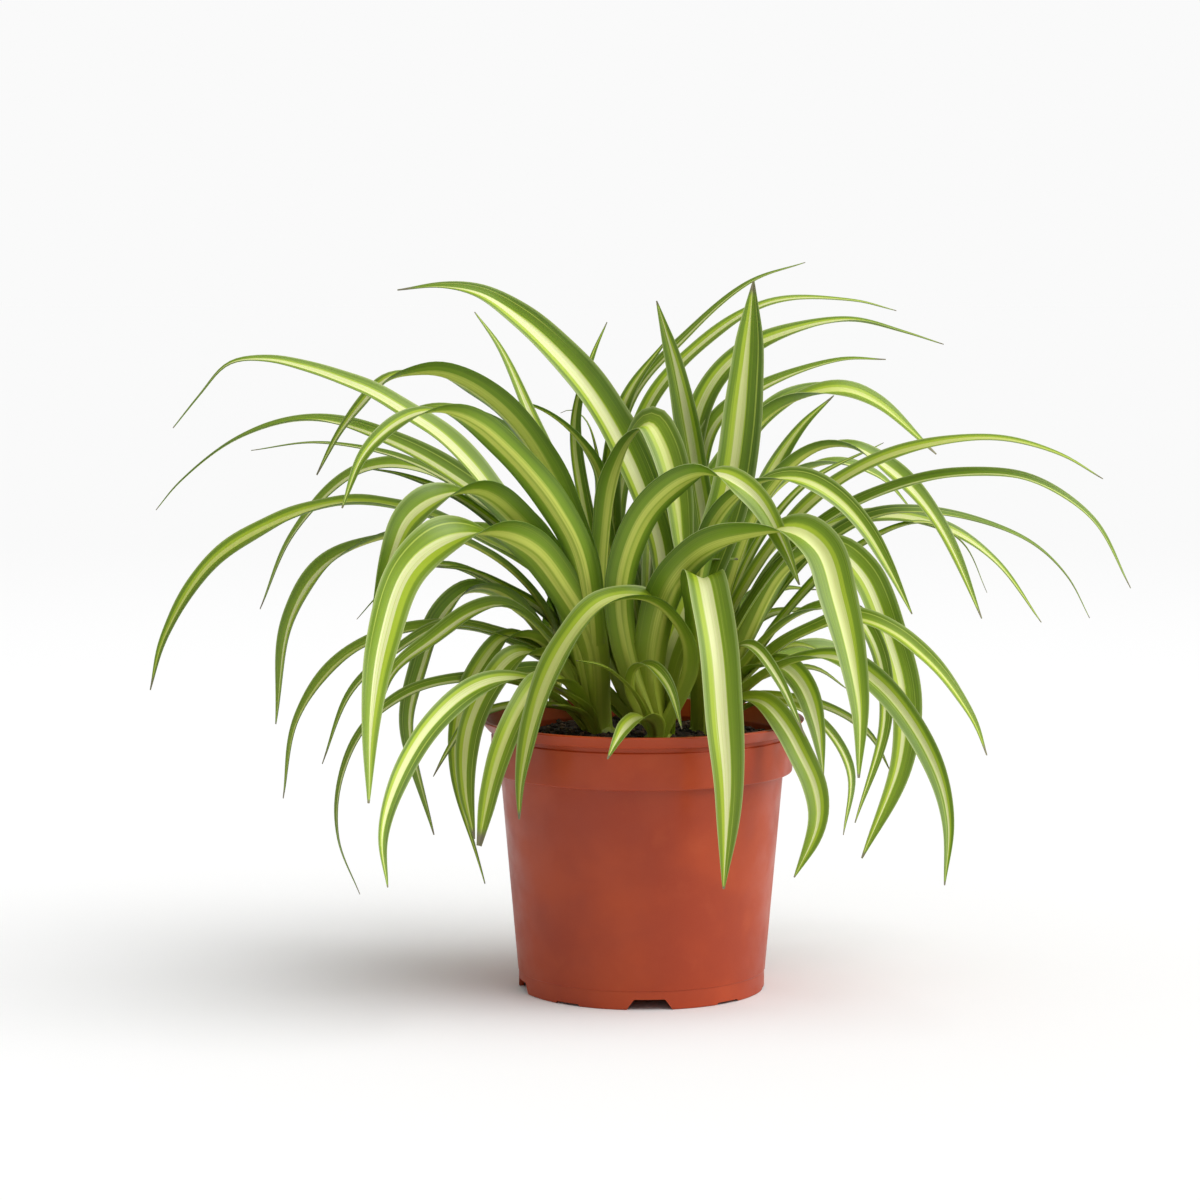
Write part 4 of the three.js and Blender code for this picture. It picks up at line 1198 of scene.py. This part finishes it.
def leaf_faces(stations):
    """Corner indices of the quads between rings, one row for each quad."""
    row = np.arange(stations - 1)[:, None] * RING
    k = np.arange(RING)[None, :]
    following = (k + 1) % RING
    quads = np.stack([row + k, row + RING + k, row + RING + following, row + following], axis=-1)
    return quads.reshape(-1, 4)


def strip_map(stations, strip, strips):
    """Map corners of the same quads: the upper face in one strip, the lower in the next."""
    low = np.empty((RING, 2))
    for k in range(RING):
        upper = k <= CROSS_STEPS
        first = k if upper else k - CROSS_STEPS - 1
        span = np.array([first, first + 1]) / (CROSS_STEPS + 1)
        low[k] = (strip + (0 if upper else 1) + STRIP_GAP + (1 - 2 * STRIP_GAP) * span) / strips
    ends = np.linspace(*STRIP_ENDS, stations)
    u0 = np.repeat(ends[:-1], RING)
    u1 = np.repeat(ends[1:], RING)
    v = np.tile(low, (stations - 1, 1))
    corners = [(u0, v[:, 0]), (u1, v[:, 0]), (u1, v[:, 1]), (u0, v[:, 1])]
    return np.stack([np.stack(pair, axis=-1) for pair in corners], axis=1)


def cap_map():
    """A tiny round patch in the map's corner, for the end caps."""
    turns = np.arange(RING) * math.tau / RING
    return CAP_PLACE + CAP_SIZE * np.stack([np.cos(turns), np.sin(turns)], axis=1)


print("a blade of 24 stations has", len(leaf_faces(24)), "quads")

# %% [markdown]
# ## A bunch of blades in one mesh
#
# Nine or so leaves make one piece. Each leaf draws its own traits, which its points carry: how
# wide its stripe is and to which side it leans, how fresh its green, how warm its cream and how
# dry its tip.

# %% Bunch
UPPER_FINISH, LOWER_FINISH = 0, 1
STRIPE_SHARES = (0.17, 0.3)
TRAITS = ("lean", "mood", "warmth", "dryness")
CARRIED = ("across", "along", "run", "to_tip", "leaf_number", "stripe", *TRAITS)
LEAF_CRISP_ANGLE = 55
NUMBER_STEP = 1.7
NUMBER_LIMIT = 97


def bunch(name, rows, crown, seed):
    """One mesh of several leaves, with the numbers that the finish reads and its map."""
    chance = random.Random(seed)
    points, quads, maps, looks, caps = [], [], [], [], []
    carried = {key: [] for key in CARRIED}
    count = 0
    for i, row in enumerate(rows):
        leaf_points, stations, numbers = blade(row, crown, chance)
        total = len(leaf_points)
        numbers["leaf_number"] = np.full(total, seed % NUMBER_LIMIT + i * NUMBER_STEP)
        numbers["stripe"] = np.full(total, chance.uniform(*STRIPE_SHARES))
        for trait in TRAITS:
            numbers[trait] = np.full(total, chance.random())
        for key, values in numbers.items():
            carried[key].append(values)
        points.append(leaf_points)
        quads.append(leaf_faces(stations) + count)
        maps.append(strip_map(stations, 2 * i, 2 * len(rows)))
        ring_looks = [UPPER_FINISH] * (CROSS_STEPS + 1) + [LOWER_FINISH] * (CROSS_STEPS + 1)
        looks.append(np.tile(ring_looks, stations - 1))
        caps.append(list(range(count, count + RING)))
        caps.append(list(range(count + total - RING, count + total))[::-1])
        count += total
    mesh = bpy.data.meshes.new(name)
    corners = np.concatenate(quads).tolist() + caps
    mesh.from_pydata((np.concatenate(points) * MM).tolist(), [], corners)
    map_corners = np.concatenate(maps).reshape(-1, 2)
    cap_corners = np.tile(cap_map(), (len(caps), 1))
    layer = mesh.uv_layers.new(name=MAP_NAME)
    layer.data.foreach_set("uv", np.concatenate([map_corners, cap_corners]).ravel())
    looks = np.concatenate([*looks, np.zeros(len(caps), int)])
    mesh.polygons.foreach_set("material_index", looks)
    for key, values in carried.items():
        attribute = mesh.attributes.new(key, "FLOAT", "POINT")
        attribute.data.foreach_set("value", np.concatenate(values))
    mesh.shade_smooth()
    mesh.set_sharp_from_angle(angle=math.radians(LEAF_CRISP_ANGLE))
    return mesh


print("each point carries", len(CARRIED), "numbers")

# %% [markdown]
# ## What the two faces of a leaf share
#
# Veins run the whole length of a leaf, so every noise here is stretched lengthwise: broad
# shades, strands that shift the borders of the stripe, and fine veins that lift the surface a
# little. Each noise is set by how fast it changes across the leaf and along it, and by its
# detail. Light passes through the thin blade and glows in it. The base is pale, because the
# light never reached it, and the very tip is dry.

# %% Leaf finish
BASE_PALE = screen_colour(156, 170, 46)
TIP_BROWN = screen_colour(116, 108, 84)
BROAD_NOISE = (5, 14, 2)
STRAND_NOISE = (13, 9, 3)
VEIN_NOISE = (38, 7, 1)
BASE_FADE = (0.015, 0.08)
DRY_LEAST = 0.0015
DRY_MORE = 0.009
VEIN_DEPTH = 0.0003
LEAF_SHINE = 0.42
LEAF_GLOW = 0.15
LEAF_GLOW_REACH = (0.6, 1.0, 0.25)
LEAF_GLOW_SCALE = 0.002


class LeafFinish(Finish):
    """A finish that holds what each point of a leaf carries, and its lengthwise noises."""

    def __init__(self, name):
        super().__init__(name)
        for carried in CARRIED:
            setattr(self, carried, self.measured(carried))
        self.broad = self.lengthwise(*BROAD_NOISE)
        self.strands = self.lengthwise(*STRAND_NOISE)
        self.veins = self.lengthwise(*VEIN_NOISE)

    def lengthwise(self, crosswise, pace, detail):
        """Noise drawn out along the leaf, which differs from leaf to leaf."""
        place = self.vector(self.across * crosswise, self.run * pace, self.leaf_number)
        return self.cloud(place, 1, detail)

    def finished(self, colour, roughness, vein_height):
        """Adds the pale base and the dry tip, and ends the tree."""
        colour = self.mix(self.run.between(*BASE_FADE, 0.8, 0), colour, BASE_PALE)
        dry_reach = self.dryness * self.dryness * DRY_MORE + DRY_LEAST
        colour = self.mix(self.to_tip.between(dry_reach * 0.4, dry_reach, 0.95, 0), colour, TIP_BROWN)
        skin = self.bump(self.veins, vein_height, VEIN_DEPTH)
        return self.done(Base_Color=colour, Roughness=roughness, Normal=skin, Specular_IOR_Level=LEAF_SHINE,
                         Subsurface_Weight=LEAF_GLOW, Subsurface_Radius=LEAF_GLOW_REACH,
                         Subsurface_Scale=LEAF_GLOW_SCALE)


print("a leaf's base fades over", round(BASE_FADE[1] / MM), "mm")

# %% [markdown]
# ## The upper face
#
# The stripe down the middle is cream, and on some leaves yellower. A thin yellow-green line runs along each
# side of it, and on the side that the stripe leans to, that line opens into a band. Outside it the leaf is
# green, deeper towards the edge, often with one fine pale line where a strand of the stripe runs apart. Near
# the edge a painted sheen lightens the green towards grey-green, and the edge itself is pale and hair-thin.

# %% Upper face
CREAM = screen_colour(210, 214, 152)
CREAM_YELLOW = screen_colour(196, 204, 108)
CREAM_LINE = screen_colour(172, 186, 74)
YELLOW_GREEN = screen_colour(160, 180, 40)
FRESH_GREEN = screen_colour(124, 149, 22)
FRESH_DARK = screen_colour(102, 131, 10)
DEEP_GREEN = screen_colour(99, 124, 12)
DEEP_DARK = screen_colour(77, 103, 5)
EDGE_PALE_AND_SHEEN = screen_colour(176, 188, 124)
STRIPE_SHIFT = 0.14
STRIPE_WAVER = 0.22
STRIPE_BORDER = (-0.02, 0.04)
FLANK_NARROW = 0.07
FLANK_WIDENS = 0.26
STRAY_PLACE = 0.62
UPPER_ROUGHNESS = 0.4

upper = LeafFinish("leaf upper face")
lean = upper.lean.between(0.1, 0.9, -1, 1)
from_stripe = upper.across - lean * STRIPE_SHIFT
sideways = abs(from_stripe)
open_side = (from_stripe * lean).between(0, 0.12)
half_stripe = upper.stripe * upper.along.between(0.72, 1, 1, 0.25) + (upper.strands - 0.5) * STRIPE_WAVER
past_stripe = sideways - half_stripe
cream = upper.mix(upper.warmth.between(0.45, 1), CREAM, CREAM_YELLOW)
cream = upper.mix(upper.veins.between(0.56, 0.68, 0, 0.6), cream, CREAM_LINE)
fresh = upper.mix(upper.mood, FRESH_DARK, FRESH_GREEN)
deep = upper.mix(upper.mood, DEEP_DARK, DEEP_GREEN)
green = upper.mix(sideways.between(0.35, 0.95) + (upper.broad - 0.5) * 0.8, fresh, deep)
green = upper.mix(upper.veins.between(0.52, 0.7, 0, 0.35), green, YELLOW_GREEN)
stray = abs(upper.across + lean * STRAY_PLACE + (upper.broad - 0.5) * 0.12)
green = upper.mix(stray.between(0.015, 0.05, 0.75, 0) * upper.strands.between(0.42, 0.55), green, CREAM_LINE)
flank = open_side * FLANK_WIDENS + FLANK_NARROW
green = upper.mix(past_stripe.between(flank * 0.6, flank), YELLOW_GREEN, green)
colour = upper.mix(past_stripe.between(*STRIPE_BORDER), cream, green)
# painted sheen: the margins are lightened towards a pale grey-green that stands in for their sheen; the thin
# pale edge on the next line is the leaf's own colour
colour = upper.mix(abs(upper.across).between(0.8, 0.92, 0, 0.3), colour, EDGE_PALE_AND_SHEEN)
colour = upper.mix(abs(upper.across).between(0.94, 0.985, 0, 0.6), colour, EDGE_PALE_AND_SHEEN)
upper_face = upper.finished(colour, UPPER_ROUGHNESS, 0.35)

# %% [markdown]
# ## The underside
#
# Below, the stripe is duller, about half as wide as the leaf, and soft at its borders. A fine
# darker line marks the keel, and the flanks are green out to a dark edge.

# %% Underside
UNDER_CREAM = screen_colour(188, 196, 84)
UNDER_LINE = screen_colour(140, 160, 42)
UNDER_FRESH = screen_colour(112, 140, 18)
UNDER_DEEP = screen_colour(78, 104, 5)
UNDER_WIDER = 1.5
UNDER_WAVER = 0.34
UNDER_BORDER = (-0.07, 0.09)
KEEL_LINE = (0.03, 0.09)
UNDER_ROUGHNESS = 0.55

under = LeafFinish("leaf underside")
from_keel = abs(under.across - under.lean.between(0.1, 0.9, -0.5, 0.5) * STRIPE_SHIFT)
past_stripe = from_keel - under.stripe * UNDER_WIDER + (under.strands - 0.5) * UNDER_WAVER
green = under.mix(abs(under.across).between(0.5, 0.95), UNDER_FRESH, UNDER_DEEP)
green = under.mix(under.veins.between(0.5, 0.7, 0, 0.4), green, UNDER_LINE)
pale = under.mix(under.veins.between(0.5, 0.66, 0, 0.5), UNDER_CREAM, UNDER_LINE)
pale = under.mix(from_keel.between(*KEEL_LINE, 0.8, 0), pale, UNDER_LINE)
colour = under.mix(past_stripe.between(*UNDER_BORDER), pale, green)
colour = under.mix(abs(under.across).between(0.9, 0.97, 0, 0.6), colour, UNDER_DEEP)
lower_face = under.finished(colour, UNDER_ROUGHNESS, 0.25)

# %% [markdown]
# ## The four rosettes
#
# Each rosette is dressed in bunches, from its highest leaves to its lowest. A bunch shares one
# mesh, so that the whole plant stays a handful of pieces, and each has a seed of its own.

# %% Leaf pieces
BUNCHES = {
    "left": [("high", LEFT_LEAVES[:9]), ("middle", LEFT_LEAVES[9:18]), ("low", LEFT_LEAVES[18:])],
    "middle": [("all", MIDDLE_LEAVES)],
    "right": [("high", RIGHT_LEAVES[:9]), ("middle", RIGHT_LEAVES[9:17]), ("low", RIGHT_LEAVES[17:])],
    "back": [("high", BACK_LEAVES[:7]), ("sides", BACK_LEAVES[7:]),
             ("rear_left", rear[8:]), ("rear_right", rear[:8])],
}
seed = 100
for crown_name, bunches in BUNCHES.items():
    for bunch_name, rows in bunches:
        seed += 1
        name = f"leaves_{crown_name}_{bunch_name}"
        mesh = bunch(name, rows, CROWNS[crown_name], seed)
        place_piece(name, mesh, [upper_face, lower_face], "leaf", f"rosette_{crown_name}")

# %% [markdown]
# ## Crowns
#
# Where the leaves meet, their bases wrap round each other in a short pale crown that stands
# in the soil. Each is a turned knob with a few shallow ribs, which wind a little as they rise.
# It is dark where it meets the soil and pale above, as the bases of the leaves are.

# %% Crowns
CROWN_OUTLINE = [(0, 96), (7.5, 96), (8.4, 108), (8.2, 114), (7, 118), (4.5, 120.5), (0, 121.5)]
CROWN_ROUND = 1.5
CROWN_TURN_STEPS = 48
CROWN_RIBS = 7
RIB_DEPTH = 0.05
RIB_WIND = 6
CROWN_GRAIN_SCALE = 260
SOIL_LINE = (0.113, 0.122)

crown_finish = Finish("crown sheaths")
spot = crown_finish.spot()
height = crown_finish.node("ShaderNodeSeparateXYZ", {}, {0: spot}, "Z")
crown_grain = crown_finish.cloud(spot, CROWN_GRAIN_SCALE, 4)
sheath = crown_finish.mix(height.between(*SOIL_LINE), PEAT_DAMP, BASE_PALE)
sheath = crown_finish.mix(crown_grain.between(0.4, 0.7, 0, 0.5), sheath, UNDER_DEEP)
crown_pale = crown_finish.done(Base_Color=sheath, Roughness=0.55)
crown_outline = rounded([(*point, CROWN_ROUND) for point in CROWN_OUTLINE])
for crown_name, (x, y) in CROWNS.items():
    mesh = turned(f"crown_{crown_name}", crown_outline, CROWN_TURN_STEPS)
    for vertex in mesh.vertices:
        bearing = math.atan2(vertex.co.y, vertex.co.x)
        ribbed = 1 + RIB_DEPTH * math.sin(CROWN_RIBS * bearing + vertex.co.z / MM / RIB_WIND)
        vertex.co.x = vertex.co.x * ribbed + x * MM
        vertex.co.y = vertex.co.y * ribbed + y * MM
    mesh.shade_smooth()
    place_piece(f"crown_{crown_name}", mesh, [crown_pale], "leaf", f"rosette_{crown_name}")
